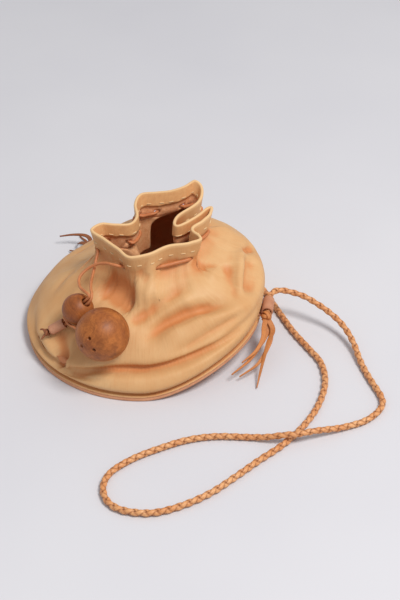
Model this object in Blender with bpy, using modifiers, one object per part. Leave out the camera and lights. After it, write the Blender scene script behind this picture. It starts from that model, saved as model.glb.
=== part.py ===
"""A soft leather drawstring bag with a round base, a laced mouth and a braided strap.

All lengths are in metres and +Z is up. The origin is the centre of the base's underside, on the
surface that the bag stands on. +X is the bag's right, +Y its back, and a turn is an angle in
degrees about +Z from +X. Where a table gives percentages, the line above it names the size that
they are percentages of.
"""

import math

import bmesh
import bpy
import numpy as np
from mathutils import Matrix, Vector

COLLECTION_NAME = "dumpling_bag"

# Base: a stiff round sole, flat on the left, with its right edge curled up off the floor
BASE_RADIUS = 0.100
SOLE_THICKNESS = 0.0032
RIM_LIFT = 0.020
CURL_TURN = -6.3
CURL_START = 0.010
CURL_STRIPS = 12
CLEARANCE = 0.0003

# Wall: one piece of thin leather, turned out into a flange at its foot and hemmed at its mouth
LEATHER_THICKNESS = 0.0013
FLANGE_WIDTH = 0.0035
MOUTH_HEIGHT = 0.100
MOUTH_SPREAD = 0.100
MOUTH_CENTRE = (0.008, 0.012)
LACE_DEPTH = 0.0170
HEM_DEPTH = 0.0110
LACE_DRAW = 0.93
WALL_COLUMNS = 64
STEPS_PER_COURSE = (1, 2, 2, 2, 2, 2, 2, 2, 2, 1, 1)

# Eyelets: oval holes along the lacing line, each at its turn about the mouth
EYELET_TURNS = (238, 284, 321, 351, 11, 49, 63, 78, 99, 118, 136, 156, 176, 197)
EYELET_LENGTH = 0.0068
EYELET_HEIGHT = 0.0040
EYELET_SIDES = 10

# Drawstring: one round thong through the eyelets, both ends through the bead and the end tube
THONG_DIAMETER = 0.0024
THONG_SPACING = 0.0031
LACE_CROSSING = 0.0024
LACE_STEP = 0.0042
LACE_CLEARANCE = 0.0006
EASE = 0.5
EASE_ROUNDS = 200

# Beads: turned wooden balls
BEAD_RADIUS = 0.013
BEAD_BORE = 0.0076
BEAD_SEAT = (222.8, 7.08)
BEAD_AXIS = (0.603, -0.216, 0.768)
BEAD_RUN = 0.003
BALL_RADIUS = 0.0215
BALL_SEAT = (250.5, 6.5)
BALL_HOLE_DIAMETER = 0.0022
BALL_HOLE_DEPTH = 0.008
BALL_HOLE_DIRECTIONS = ((-0.42, -0.79, 0.45), (-0.72, -0.69, 0.02), (-0.25, -0.95, 0.05))
BALL_SOCKET_DIRECTION = (-0.70, 0.58, -0.42)
BALL_SOCKET_DIAMETER = 0.0056
BALL_SOCKET_DEPTH = 0.0080
LOOP_DIAMETER = 0.0022

# End tube and knot of the drawstring
TUBE_LENGTH = 0.0135
TUBE_WALL = 0.0012
TUBE_SEAT = (213.8, 6.2)
KNOT_RADIUS = 0.0030

# Strap: a round braid that ends in a knot and four tails beyond each leather keeper
STRAP_DIAMETER = 0.0056
STRAP_POINTS = 80
KEEPER_LENGTH = 0.017
KEEPER_WALL = 0.0020
KEEPER_TONGUE = 0.0026
KEEPER_OUTSET = 0.0008
KEEPER_TURNS = {"right": -7.5, "left": 113.0}
STRAP_KNOT_RADIUS = 0.0050
TAIL_WIDTH = 0.0040
TAIL_THICKNESS = 0.0012
TAIL_TIP = 0.0008

# Columns of the wall's courses, and each course as (radius, height above the rim) at each of them,
# in percent of BASE_RADIUS and of MOUTH_HEIGHT, with the share of the rim's lift that it follows
COURSE_TURNS = (0, 30, 60, 90, 120, 150, 180, 205, 236, 255, 275, 300, 330)
COURSES = {
    "bulge": (1.0, (
        (100.5, 9), (101, 9.5), (101, 12), (101, 9), (101, 8), (101, 7.5), (101, 6.5), (100.5, 5.5),
        (100.5, 5.5), (101, 6.5), (101.5, 7), (101, 7), (100.5, 6.5),
    )),
    "roll": (1.0, (
        (102, 18), (102, 19.5), (101, 23), (100, 20), (99.5, 15), (99, 13), (97.5, 11), (97, 9),
        (97, 9), (97, 13.5), (97, 15), (99, 13), (101.5, 15.5),
    )),
    "crease": (1.0, (
        (102.5, 25), (101, 29.5), (99.5, 35), (98.5, 31), (96, 23), (94.5, 20), (94, 16), (94, 11.5),
        (94, 11), (84, 14.5), (83, 16.5), (89, 15), (99, 19.5),
    )),
    "lip": (1.0, (
        (101, 31), (98.5, 36.5), (96, 45), (94, 41), (90, 31), (88.5, 28), (90, 22), (94.5, 14.5),
        (96, 14), (84.5, 18), (84.5, 20.5), (89, 20.5), (98, 24.5),
    )),
    "shoulder": (0.7, (
        (94.5, 43), (93, 48), (88, 54.5), (86, 50), (80, 39), (78, 37), (79.5, 32), (84, 25),
        (84, 24), (78, 28), (76.5, 32), (81, 32), (90, 37.5),
    )),
    "slope": (0.35, (
        (82, 56), (85, 60), (77, 63.5), (74, 58), (67, 48), (64, 47), (64, 44), (66, 39),
        (66, 37), (64, 40), (62, 42), (65, 44), (76, 50.5),
    )),
    "neck": (0.1, (
        (68, 66), (77, 71.5), (68, 71.5), (62, 66), (53, 59), (48, 57), (48, 56), (47, 53),
        (46, 51), (46, 52.5), (46, 54), (51, 56), (61, 61),
    )),
}
PLEAT_SHARES = {"neck": 0.45, "slope": 0.15}
PLEAT_ORDER = 2

# Mouth edge as (turn, x, y, height): x and y in percent of MOUTH_SPREAD, height of MOUTH_HEIGHT
MOUTH_EDGE = (
    (10, 57.5, 21.5, 100), (20, 58, 30, 101), (27, 52.5, 28.5, 101), (32, 45, 19.5, 100),
    (40, 29, 7, 98.5), (47, 30.5, 18, 99.5), (54, 47, 36, 101),
    (63, 50, 55, 105), (70, 43, 60, 108), (77, 34.5, 55.5, 105.5), (89, 22, 52.5, 102.5),
    (99, 11.5, 52, 101.5), (114, -3.5, 50, 100.5), (128, -8, 36, 99.5), (141, -6, 20, 98.5),
    (152, -10, 10, 98.5), (165, -22, 7.5, 99.5), (178, -34, 7, 100.5), (190, -42, -1, 100),
    (211, -31, -14, 98.5), (233, -20, -24, 96.5), (256, -8.5, -34, 94.5), (272, 5, -32, 95.5),
    (298, 23, -21, 96.5), (320, 41, -17, 97), (331, 49.5, -11, 97.5), (336, 47.5, -6, 98),
    (341, 43, -1, 98.5), (355, 51, 10.5, 99.5),
)

# Folds as (path of (turn, course), height, width, sharpness, fade at each end): a height below
# nought is a valley, and courses are numbered from the flange's edge, 0, to the mouth's edge, 11
FOLDS = {
    "facet_hollow": (((232, 5.2), (225, 5.6), (217, 6.0), (210, 6.3)), -0.0038, 0.008, 1.7, (0.2, 0.35)),
    "facet_ridge": (((233, 4.8), (230, 5.7), (224, 6.3), (221, 6.9)), 0.0024, 0.005, 1.4, (0.1, 0.4)),
    "left_ridge": (((192, 4.6), (205, 4.8), (218, 5.0), (231, 4.9)), 0.0018, 0.006, 1.5, (0.3, 0.15)),
    "second_crease": (((233, 3.2), (243, 3.0), (256, 2.8)), -0.0018, 0.0035, 1.4, (0.1, 0.5)),
    "hem_hollow": (((207, 8.3), (225, 8.3), (245, 8.3), (268, 8.2)), -0.0065, 0.013, 2.0, (0.25, 0.2)),
    "front_ridge": (((266, 9.5), (276, 8.8), (287, 8.1), (296, 7.6)), 0.0035, 0.007, 1.4, (0.2, 0.35)),
    "ball_crease": (((258, 7.3), (272, 7.5), (285, 7.7), (300, 7.8)), -0.0020, 0.006, 1.5, (0.2, 0.4)),
    "long_valley": (((268, 6.2), (287, 7.0), (311, 7.1), (335, 6.3)), -0.0045, 0.008, 1.6, (0.2, 0.3)),
    "long_ridge": (((280, 5.6), (290, 5.8), (311, 6.0), (332, 5.6), (349, 5.1)), 0.0024, 0.007, 1.7, (0.3, 0.3)),
    "right_ridge": (((369, 7.3), (355, 6.9), (345, 6.5), (335, 6.1)), 0.0036, 0.006, 1.4, (0.2, 0.25)),
    "right_valley": (((366, 6.5), (358, 6.2), (348, 5.95), (338, 5.7)), -0.0045, 0.007, 1.6, (0.2, 0.3)),
    "hem_valley": (((320, 8.9), (331, 8.6), (346, 8.2)), -0.0036, 0.006, 1.6, (0.3, 0.4)),
    "back_tuck": (((4, 7.1), (12, 6.3), (20, 5.6)), -0.0030, 0.0045, 1.4, (0.3, 0.3)),
}
FOLD_SAMPLES = 60
LACE_COURSE = 9
HEM_COURSE = 10

# Routes of the drawstring's free strands, from their eyelets down to the bead
STRAND_B_ROUTE = (
    (-0.0172, -0.0290, 0.0832), (-0.0229, -0.0290, 0.0850), (-0.0301, -0.0250, 0.0835),
    (-0.0374, -0.0222, 0.0800), (-0.0440, -0.0225, 0.0760), (-0.0495, -0.0265, 0.0725),
    (-0.0510, -0.0325, 0.0707), (-0.0492, -0.0405, 0.0707), (-0.0456, -0.0463, 0.0713),
    (-0.0424, -0.0500, 0.0708),
)
STRAND_A_ROUTE = (
    (-0.0367, -0.0083, 0.0815), (-0.0380, -0.0140, 0.0775), (-0.0397, -0.0230, 0.0725),
    (-0.0408, -0.0330, 0.0707), (-0.0404, -0.0430, 0.0712), (-0.0393, -0.0500, 0.0706),
)

# Route of the strap from the right keeper, over the floor, round the back, to the left keeper
STRAP_ROUTE = (
    (0.1092, 0.0035, 0.0305), (0.1140, 0.0070, 0.0308), (0.1220, 0.0075, 0.0298),
    (0.1360, 0.0050, 0.0265), (0.1480, -0.0010, 0.0225), (0.1585, -0.0075, 0.0180),
    (0.1670, -0.0155, 0.0140), (0.1730, -0.0250, 0.0105), (0.1775, -0.0370, 0.0070),
    (0.1805, -0.0510, 0.0042), (0.1840, -0.0650, 0.0029), (0.1885, -0.0800, 0.0029),
    (0.1935, -0.0955, 0.0029), (0.1940, -0.1060, 0.0029), (0.1885, -0.1160, 0.0029),
    (0.1770, -0.1260, 0.0029), (0.1600, -0.1335, 0.0036), (0.1490, -0.1380, 0.0058),
    (0.1365, -0.1430, 0.0086), (0.1240, -0.1470, 0.0094), (0.1120, -0.1475, 0.0084),
    (0.1000, -0.1462, 0.0052), (0.0870, -0.1440, 0.0030), (0.0600, -0.1430, 0.0029),
    (0.0380, -0.1470, 0.0029), (0.0170, -0.1560, 0.0029), (-0.0030, -0.1670, 0.0029),
    (-0.0190, -0.1810, 0.0029), (-0.0245, -0.1950, 0.0029), (-0.0220, -0.2090, 0.0029),
    (-0.0130, -0.2185, 0.0029), (0.0020, -0.2228, 0.0029), (0.0180, -0.2220, 0.0029),
    (0.0380, -0.2140, 0.0029), (0.0570, -0.2020, 0.0029), (0.0750, -0.1860, 0.0029),
    (0.0930, -0.1690, 0.0029), (0.1120, -0.1520, 0.0029), (0.1300, -0.1300, 0.0029),
    (0.1430, -0.1060, 0.0029), (0.1500, -0.0800, 0.0029), (0.1485, -0.0560, 0.0029),
    (0.1395, -0.0370, 0.0029), (0.1280, -0.0150, 0.0029), (0.1190, 0.0070, 0.0029),
    (0.1120, 0.0250, 0.0029), (0.1040, 0.0450, 0.0029), (0.0880, 0.0730, 0.0029),
    (0.0620, 0.0980, 0.0029), (0.0310, 0.1140, 0.0029), (0.0030, 0.1170, 0.0040),
    (-0.0120, 0.1110, 0.0075), (-0.0220, 0.1062, 0.0098),
)

# Tails beyond the strap's knots: for each side, each tail's route after the knot
TAIL_ROUTES = {
    "right": (
        ((0.1030, -0.0390, 0.0215), (0.0970, -0.0520, 0.0185), (0.0880, -0.0650, 0.0135), (0.0735, -0.0775, 0.0090)),
        ((0.1068, -0.0385, 0.0195), (0.1035, -0.0520, 0.0160), (0.0950, -0.0660, 0.0105), (0.0800, -0.0765, 0.0060)),
        ((0.1082, -0.0390, 0.0250), (0.1040, -0.0515, 0.0215), (0.0985, -0.0680, 0.0105), (0.0940, -0.0850, 0.0015)),
        ((0.1010, -0.0380, 0.0270), (0.0995, -0.0500, 0.0250), (0.0935, -0.0610, 0.0205), (0.0820, -0.0705, 0.0160)),
    ),
    "left": (
        ((-0.0590, 0.1010, 0.0150), (-0.0620, 0.1120, 0.0135), (-0.0715, 0.1240, 0.0070), (-0.0860, 0.1320, 0.0015)),
        ((-0.0640, 0.0960, 0.0125), (-0.0710, 0.1030, 0.0090), (-0.0770, 0.1090, 0.0045), (-0.0840, 0.1130, 0.0012)),
        ((-0.0640, 0.0915, 0.0085), (-0.0735, 0.0935, 0.0048), (-0.0810, 0.0955, 0.0025), (-0.0895, 0.0975, 0.0012)),
        ((-0.0560, 0.1000, 0.0080), (-0.0560, 0.1100, 0.0040), (-0.0590, 0.1200, 0.0018), (-0.0660, 0.1300, 0.0010)),
    ),
}

# Tips of the drawstring's end knot, from the knot's centre
END_TIPS = (
    ((-0.0015, -0.0020, -0.0006), (-0.0035, -0.0050, -0.0016), (-0.0062, -0.0076, -0.0034)),
    ((-0.0020, 0.0020, 0.0008), (-0.0050, 0.0044, 0.0012), (-0.0084, 0.0062, 0.0002)),
)

COLOURS = {
    "sole": (0.52, 0.29, 0.17, 1.0),
    "bag_wall": (0.76, 0.47, 0.22, 1.0),
    "thong": (0.62, 0.32, 0.14, 1.0),
    "wood": (0.38, 0.16, 0.06, 1.0),
    "keeper": (0.60, 0.34, 0.20, 1.0),
    "braid": (0.68, 0.36, 0.15, 1.0),
}


def clear_scene():
    """Remove what the scene holds."""
    for held in list(bpy.data.objects):
        bpy.data.objects.remove(held, do_unlink=True)


def new_collection(name):
    """A new collection in the scene."""
    made = bpy.data.collections.new(name)
    bpy.context.scene.collection.children.link(made)
    return made


def leather(name, colour, roughness=0.62):
    """A plain non-metallic material."""
    made = bpy.data.materials.new(name)
    made.use_nodes = True
    shader = made.node_tree.nodes["Principled BSDF"]
    shader.inputs["Base Color"].default_value = colour
    shader.inputs["Roughness"].default_value = roughness
    shader.inputs["Metallic"].default_value = 0.0
    return made


def mesh_object(name, mesh, collection, material):
    """An object for a mesh, in its collection and with its material."""
    made = bpy.data.objects.new(name, mesh)
    collection.objects.link(made)
    if material:
        mesh.materials.append(material)
    return made


def from_bmesh(name, shape, collection, material, smooth_angle=None):
    """An object for a bmesh, which is freed."""
    mesh = bpy.data.meshes.new(name)
    shape.to_mesh(mesh)
    shape.free()
    if smooth_angle is not None:
        mesh.shade_smooth()
        mesh.set_sharp_from_angle(angle=smooth_angle)
    return mesh_object(name, mesh, collection, material)


def cutter_from(name, shape, cutters):
    """A hidden wire object that a Boolean cuts with."""
    made = from_bmesh(name, shape, cutters, None)
    made.hide_render = True
    made.display_type = "WIRE"
    return made


def boolean(target, other, operation="DIFFERENCE"):
    """A live Boolean modifier on the target."""
    modifier = target.modifiers.new(f"{operation.lower()}_{other.name}", "BOOLEAN")
    modifier.operation = operation
    modifier.solver = "EXACT"
    modifier.object = other


def tube(name, points, diameter, collection, material, resolution=2, closed=False):
    """A round tube through the points, with filled ends."""
    curve = bpy.data.curves.new(name, "CURVE")
    curve.dimensions = "3D"
    curve.bevel_depth = diameter / 2
    curve.bevel_resolution = resolution
    curve.use_fill_caps = True
    line = curve.splines.new("POLY")
    line.points.add(len(points) - 1)
    line.points.foreach_set("co", np.c_[np.array(points), np.ones(len(points))].ravel())
    line.use_cyclic_u = closed
    made = bpy.data.objects.new(name, curve)
    collection.objects.link(made)
    curve.materials.append(material)
    return made


def smooth_route(points, count, closed=False):
    """Count points, evenly spaced, on the Catmull-Rom curve through the route's points."""
    route = np.array(points, float)
    if closed:
        route = np.vstack([route[-1:], route, route[:2]])
    else:
        route = np.vstack([2 * route[0] - route[1], route, 2 * route[-1] - route[-2]])
    share = np.linspace(0, 1, 24, endpoint=False)[:, None]
    pieces = []
    for before, start, end, after in zip(route[:-3], route[1:-2], route[2:-1], route[3:]):
        leave = (end - before) / 2
        arrive = (after - start) / 2
        pieces.append(
            (2 * share**3 - 3 * share**2 + 1) * start
            + (share**3 - 2 * share**2 + share) * leave
            + (3 * share**2 - 2 * share**3) * end
            + (share**3 - share**2) * arrive
        )
    dense = np.vstack(pieces + [route[-2:-1]])
    along = np.r_[0, np.cumsum(np.linalg.norm(np.diff(dense, axis=0), axis=1))]
    where = np.linspace(0, along[-1], count, endpoint=not closed)
    return np.stack([np.interp(where, along, dense[:, axis]) for axis in range(3)], axis=1)


def unit(vector):
    """The vector at length one."""
    return np.array(vector, float) / np.linalg.norm(vector)


def rim_lift(x, y):
    """Height by which the curl raises the base at each plan position."""
    turn = math.radians(CURL_TURN)
    reach = x * math.cos(turn) + y * math.sin(turn)
    share = np.clip((reach - CURL_START) / (BASE_RADIUS - CURL_START), 0, 1)
    return RIM_LIFT * share**2 * (3 - 2 * share)


def periodic_curve(turns, values, where):
    """Cubic curve round the bag through values at turns, with slopes set by both neighbours."""
    turns = np.array(turns, float)
    values = np.array(values, float)
    knots = np.r_[turns[-1] - 360, turns, turns[0] + 360, turns[1] + 360]
    rows = np.vstack([values[-1], values, values[0], values[1]])
    span = np.diff(knots)
    slope = np.diff(rows, axis=0) / span[:, None]
    tangent = (slope[:-1] * span[1:, None] + slope[1:] * span[:-1, None]) / (span[1:] + span[:-1])[:, None]
    place = (where - turns[0]) % 360 + turns[0]
    index = np.clip(np.searchsorted(knots[1:], place, side="right") - 1, 0, len(turns) - 1)
    width = span[index + 1][:, None]
    share = (place - knots[index + 1])[:, None] / width
    return (
        (2 * share**3 - 3 * share**2 + 1) * rows[index + 1]
        + (share**3 - 2 * share**2 + share) * tangent[index] * width
        + (3 * share**2 - 2 * share**3) * rows[index + 2]
        + (share**3 - share**2) * tangent[index + 1] * width
    )


def flange_top():
    """Height of the flange's upper face where the base is flat."""
    return SOLE_THICKNESS + CLEARANCE + LEATHER_THICKNESS


def rim_ring(turn, radius, height):
    """A ring about the base that follows the curl of the rim."""
    x = radius * np.cos(np.radians(turn))
    y = radius * np.sin(np.radians(turn))
    return np.stack([x, y, height + rim_lift(x, y)], axis=1)


def mouth_ring(turn):
    """The mouth's edge at each turn."""
    table = np.array(MOUTH_EDGE, float)
    scale = np.array([MOUTH_SPREAD, MOUTH_SPREAD, MOUTH_HEIGHT]) / 100
    return periodic_curve(table[:, 0], table[:, 1:] * scale, turn)


def lace_ring(edge):
    """The lacing line below the mouth's edge, drawn in towards the mouth's centre."""
    centre = np.array([*MOUTH_CENTRE, 0.0])
    ring = centre + (edge - centre) * np.array([LACE_DRAW, LACE_DRAW, 1.0])
    ring[:, 2] = edge[:, 2] - LACE_DEPTH
    return ring


def smoothed(turn, ring_at):
    """The lowest harmonics of a ring, which hold its shape without the pleats."""
    def waves(angle):
        angle = np.radians(angle)[:, None]
        orders = range(1, PLEAT_ORDER + 1)
        return np.hstack([np.ones_like(angle)] + [wave(k * angle) for k in orders for wave in (np.cos, np.sin)])

    all_round = np.arange(0, 360, 2.5)
    weights = np.linalg.lstsq(waves(all_round), ring_at(all_round), rcond=None)[0]
    return waves(turn) @ weights


def course_rings(turn):
    """Every course of the wall at each turn, from the flange's edge to the mouth's edge."""
    top = flange_top()
    rings = [rim_ring(turn, BASE_RADIUS, top), rim_ring(turn, BASE_RADIUS - FLANGE_WIDTH, top)]
    edge = mouth_ring(turn)
    lace = lace_ring(edge)
    pleats = lace - smoothed(turn, lambda angle: lace_ring(mouth_ring(angle)))
    rim = rim_ring(turn, BASE_RADIUS, 0.0)[:, 2]
    for name, (lift_share, values) in COURSES.items():
        table = periodic_curve(COURSE_TURNS, np.array(values) / 100, turn)
        radius = table[:, 0] * BASE_RADIUS
        height = top + table[:, 1] * MOUTH_HEIGHT + rim * lift_share
        ring = np.stack([radius * np.cos(np.radians(turn)), radius * np.sin(np.radians(turn)), height], axis=1)
        rings.append(ring + PLEAT_SHARES.get(name, 0.0) * pleats)
    rings.append(lace)
    rings.append(edge + (lace - edge) * HEM_DEPTH / LACE_DEPTH)
    rings.append(edge)
    return np.stack(rings)


def lofted(rings, steps):
    """Rows of a smooth loft through the rings, with the course number of each row."""
    span = np.linalg.norm(np.diff(rings, axis=0), axis=2, keepdims=True)
    slope = np.diff(rings, axis=0) / span
    tangent = np.empty_like(rings)
    tangent[1:-1] = (slope[:-1] * span[1:] + slope[1:] * span[:-1]) / (span[1:] + span[:-1])
    tangent[0] = slope[0]
    tangent[1] = slope[0] / 2
    tangent[-1] = slope[-1]
    rows = []
    courses = []
    for course in range(len(rings) - 1):
        for share in np.arange(steps[course]) / steps[course]:
            rows.append(
                (2 * share**3 - 3 * share**2 + 1) * rings[course]
                + (share**3 - 2 * share**2 + share) * tangent[course] * span[course]
                + (3 * share**2 - 2 * share**3) * rings[course + 1]
                + (share**3 - share**2) * tangent[course + 1] * span[course]
            )
            courses.append(course + share)
    rows.append(rings[-1])
    courses.append(len(rings) - 1)
    return np.array(courses, float), np.array(rows)


def outward(grid):
    """Outward direction at each point of a grid of rows round the bag."""
    around = np.roll(grid, -1, axis=1) - np.roll(grid, 1, axis=1)
    upward = np.gradient(grid, axis=0)
    normal = np.cross(around, upward)
    return normal / np.linalg.norm(normal, axis=2, keepdims=True)


def on_grid(grid, courses, turn, course):
    """Points of the grid at each turn and course, between its corners in a straight line."""
    columns = grid.shape[1]
    column = np.array(turn, float) % 360 / 360 * columns
    left = np.floor(column).astype(int)
    across = (column - left)[:, None]
    row = np.interp(course, courses, np.arange(len(courses)))
    below = np.clip(np.floor(row).astype(int), 0, len(courses) - 2)
    up = (row - below)[:, None]
    left, right = left % columns, (left + 1) % columns
    low = grid[below, left] * (1 - across) + grid[below, right] * across
    high = grid[below + 1, left] * (1 - across) + grid[below + 1, right] * across
    return low * (1 - up) + high * up


def folded(grid, courses):
    """The grid with every fold raised or pressed in along the surface's own direction."""
    rise = np.zeros(grid.shape[:2])
    for path, height, width, sharpness, fades in FOLDS.values():
        path = np.array(path, float)
        leg = np.linalg.norm(np.diff(path * (1, 20), axis=0), axis=1)
        along = np.r_[0, np.cumsum(leg)] / leg.sum()
        share = np.linspace(0, 1, FOLD_SAMPLES)
        turn = np.interp(share, along, path[:, 0])
        course = np.interp(share, along, path[:, 1])
        crest = on_grid(grid, courses, turn, course)
        fade = np.clip(np.minimum(share / fades[0], (1 - share) / fades[1]), 0, 1)
        fade = fade**2 * (3 - 2 * fade)
        gap = np.linalg.norm(grid[:, :, None, :] - crest, axis=3)
        nearest = gap.argmin(axis=2)
        rise += height * fade[nearest] * np.exp(-((gap.min(axis=2) / width) ** sharpness))
    return grid + outward(grid) * rise[:, :, None]


def wall_grid(columns, steps):
    """Outer face of the wall: the course number of each row, and the grid of its points."""
    turn = np.arange(columns) / columns * 360
    courses, grid = lofted(course_rings(turn), steps)
    return courses, folded(grid, courses)


def fine_face(courses, grid, columns, rows):
    """Points and outward directions of the wall's outer face, between its corners."""
    turn, course = np.meshgrid(columns, rows)
    points = on_grid(grid, courses, turn.ravel(), course.ravel())
    normal = on_grid(outward(grid), courses, turn.ravel(), course.ravel())
    return points, normal / np.linalg.norm(normal, axis=1, keepdims=True)


def front_face(courses, grid):
    """The part of the wall's outer face that the beads and the end tube lie on."""
    return fine_face(courses, grid, np.arange(196, 268, 1.0), np.linspace(4.5, 8.0, 43))


def seated(seat, body, radius, courses, grid):
    """Place on the wall, at a (turn, course), of a body of spheres, and the wall's direction there."""
    turn, course = seat
    direction = unit(on_grid(outward(grid), courses, [turn], [course])[0])
    place = on_grid(grid, courses, [turn], [course])[0] + direction * (radius + CLEARANCE)
    face, _ = front_face(courses, grid)
    for _ in range(40):
        gap = np.linalg.norm(face[:, None] - place - body, axis=2).min() - radius - 1.5 * CLEARANCE
        place = place + direction * max(-gap, 0.0)
    return place, direction


def make_sole(collection):
    """A disc, cut across into strips so that its right side can curl up."""
    shape = bmesh.new()
    bmesh.ops.create_cone(
        shape, cap_ends=True, segments=WALL_COLUMNS, radius1=BASE_RADIUS, radius2=BASE_RADIUS,
        depth=SOLE_THICKNESS, matrix=Matrix.Translation((0, 0, SOLE_THICKNESS / 2)),
    )
    turn = math.radians(CURL_TURN)
    direction = Vector((math.cos(turn), math.sin(turn), 0))
    for strip in range(CURL_STRIPS):
        reach = CURL_START + (BASE_RADIUS - CURL_START) * strip / CURL_STRIPS
        bmesh.ops.bisect_plane(
            shape, geom=shape.verts[:] + shape.edges[:] + shape.faces[:], dist=1e-7,
            plane_co=direction * reach, plane_no=direction,
        )
    for vertex in shape.verts:
        vertex.co.z += float(rim_lift(vertex.co.x, vertex.co.y))
    return from_bmesh("sole", shape, collection, leather("sole", COLOURS["sole"], 0.7), math.radians(40))


def lace_frame(courses, grid, turn):
    """Points of the wall's middle at the lacing line, with outward and along directions."""
    face = on_grid(grid, courses, turn, np.full(len(turn), float(LACE_COURSE)))
    normal = on_grid(outward(grid), courses, turn, np.full(len(turn), float(LACE_COURSE)))
    normal /= np.linalg.norm(normal, axis=1, keepdims=True)
    return face - normal * LEATHER_THICKNESS / 2, normal


def make_wall(collection, cutters, courses, grid):
    """The wall: the folded grid with its leather's thickness, a double hem and oval eyelets."""
    rows, columns = grid.shape[:2]
    number = np.arange(rows * columns).reshape(rows, columns)
    corner = number[:-1]
    above = number[1:]
    faces = np.stack([corner, np.roll(corner, -1, axis=1), np.roll(above, -1, axis=1), above], axis=2)
    mesh = bpy.data.meshes.new("bag_wall")
    mesh.from_pydata(grid.reshape(-1, 3).tolist(), [], faces.reshape(-1, 4).tolist())
    mesh.shade_smooth()
    wall = mesh_object("bag_wall", mesh, collection, leather("bag_wall", COLOURS["bag_wall"]))
    hem = wall.vertex_groups.new(name="hem")
    hem.add(number[courses >= HEM_COURSE].ravel().tolist(), 1.0, "REPLACE")
    shell = wall.modifiers.new("leather", "SOLIDIFY")
    shell.thickness = 2 * LEATHER_THICKNESS
    shell.offset = -1
    shell.vertex_group = "hem"
    shell.thickness_vertex_group = 0.5
    shell.use_rim = True

    shape = bmesh.new()
    turn = np.array(EYELET_TURNS, float)
    middles, normals = lace_frame(courses, grid, turn)
    ahead, _ = lace_frame(courses, grid, turn + 1)
    behind, _ = lace_frame(courses, grid, turn - 1)
    for middle, normal, along in zip(middles, normals, ahead - behind):
        along = unit(along - normal * np.dot(along, normal))
        across = np.cross(normal, along)
        pose = Matrix(np.stack([along, across, normal], axis=1).tolist()).to_4x4()
        pose.translation = Vector(middle)
        oval = Matrix.Diagonal((EYELET_LENGTH / EYELET_HEIGHT, 1, 1, 1))
        bmesh.ops.create_cone(
            shape, cap_ends=True, segments=EYELET_SIDES, radius1=EYELET_HEIGHT / 2,
            radius2=EYELET_HEIGHT / 2, depth=4 * LEATHER_THICKNESS, matrix=pose @ oval,
        )
    boolean(wall, cutter_from("eyelet_cutters", shape, cutters))
    return wall


def off_point(centre, distance):
    """A move that takes points out to a distance from a centre."""
    def moved(points):
        arm = points - centre
        reach = np.linalg.norm(arm, axis=1, keepdims=True)
        return centre + arm * np.maximum(reach, distance) / reach
    return moved


def off_line(line, distance):
    """A move that takes points out to a distance from a line's points."""
    def moved(points):
        arm = points[:, None] - line
        nearest = np.linalg.norm(arm, axis=2).argmin(axis=1)
        arm = points - line[nearest]
        reach = np.linalg.norm(arm, axis=1, keepdims=True)
        return line[nearest] + arm * np.maximum(reach, distance) / reach
    return moved


def off_face(face, normal, side, distance):
    """A move that takes points out to a distance from a face, each to its own side of it."""
    def moved(points):
        nearest = np.linalg.norm(points[:, None] - face, axis=2).argmin(axis=1)
        out = normal[nearest] * np.reshape(side, (-1, 1))
        height = np.sum((points - face[nearest]) * out, axis=1, keepdims=True)
        return points + out * np.maximum(distance - height, 0)
    return moved


def eased(points, held, moves, closed=False):
    """A line drawn taut past what it may not touch, with its held points where they are."""
    for _ in range(EASE_ROUNDS):
        middle = (np.roll(points, 1, axis=0) + np.roll(points, -1, axis=0)) / 2
        if not closed:
            middle[0], middle[-1] = points[0], points[-1]
        moved = points + (middle - points) * EASE
        for move in moves:
            moved = move(moved)
        points = np.where(held[:, None], points, moved)
    return points


def lace_path(courses, grid):
    """Route of the thong through the eyelets, taut, inside and outside by turns."""
    columns = np.arange(-grid.shape[1], 2 * grid.shape[1] + 1) / grid.shape[1] * 360
    middles, _ = lace_frame(courses, grid, columns)
    along = np.r_[0, np.cumsum(np.linalg.norm(np.diff(middles, axis=0), axis=1))]
    eyelets = np.array(EYELET_TURNS, float)
    eyelets = np.where(eyelets < eyelets[0], eyelets + 360, eyelets)
    holes = np.interp(eyelets, columns, along)
    stops = [holes[:1] - LACE_CROSSING]
    sides = [[1.0]]
    held = [[True]]
    for number, hole in enumerate(holes):
        start = -1.0 if number % 2 else 1.0
        crossing = np.array([-0.33, 0.33, 1.0])
        stops.append(hole + crossing * LACE_CROSSING)
        sides.append(-start * crossing)
        held.append([True, True, True])
        if number + 1 < len(holes):
            free = holes[number + 1] - hole - 2 * LACE_CROSSING
            count = max(int(free / LACE_STEP), 1)
            stops.append(hole + LACE_CROSSING + free * np.arange(1, count + 1) / count)
            sides.append(np.full(count, -start))
            held.append([False] * (count - 1) + [True])
    stops, sides, held = (np.concatenate(part) for part in (stops, sides, held))
    offset = (LEATHER_THICKNESS + THONG_DIAMETER) / 2 + LACE_CLEARANCE
    turn = np.interp(stops, along, columns)
    centres, normals = lace_frame(courses, grid, turn)
    face, normal = fine_face(courses, grid, np.arange(0, 360, 1.25), np.linspace(8.4, 9.7, 6))
    middle = face - normal * LEATHER_THICKNESS / 2
    side = np.where(sides < 0, -1.0, 1.0)
    return eased(centres + normals * (sides * offset)[:, None], held, [off_face(middle, normal, side, offset)])


def pair_line(bead, tube_start, tube_end):
    """Middle line of the two strands through the bead and the tube, and their side direction."""
    axis = unit(BEAD_AXIS)
    tube_axis = unit(tube_end - tube_start)
    line = [
        bead + axis * (BEAD_RADIUS + BEAD_RUN + 0.5 * THONG_DIAMETER), bead + axis * BEAD_RADIUS * 0.5,
        bead, bead - axis * BEAD_RADIUS * 0.5, bead - axis * BEAD_RADIUS,
        tube_start, (tube_start + tube_end) / 2, tube_end, tube_end + tube_axis * THONG_DIAMETER * 0.5,
    ]
    return line, unit(np.cross(axis, tube_axis))


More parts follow.
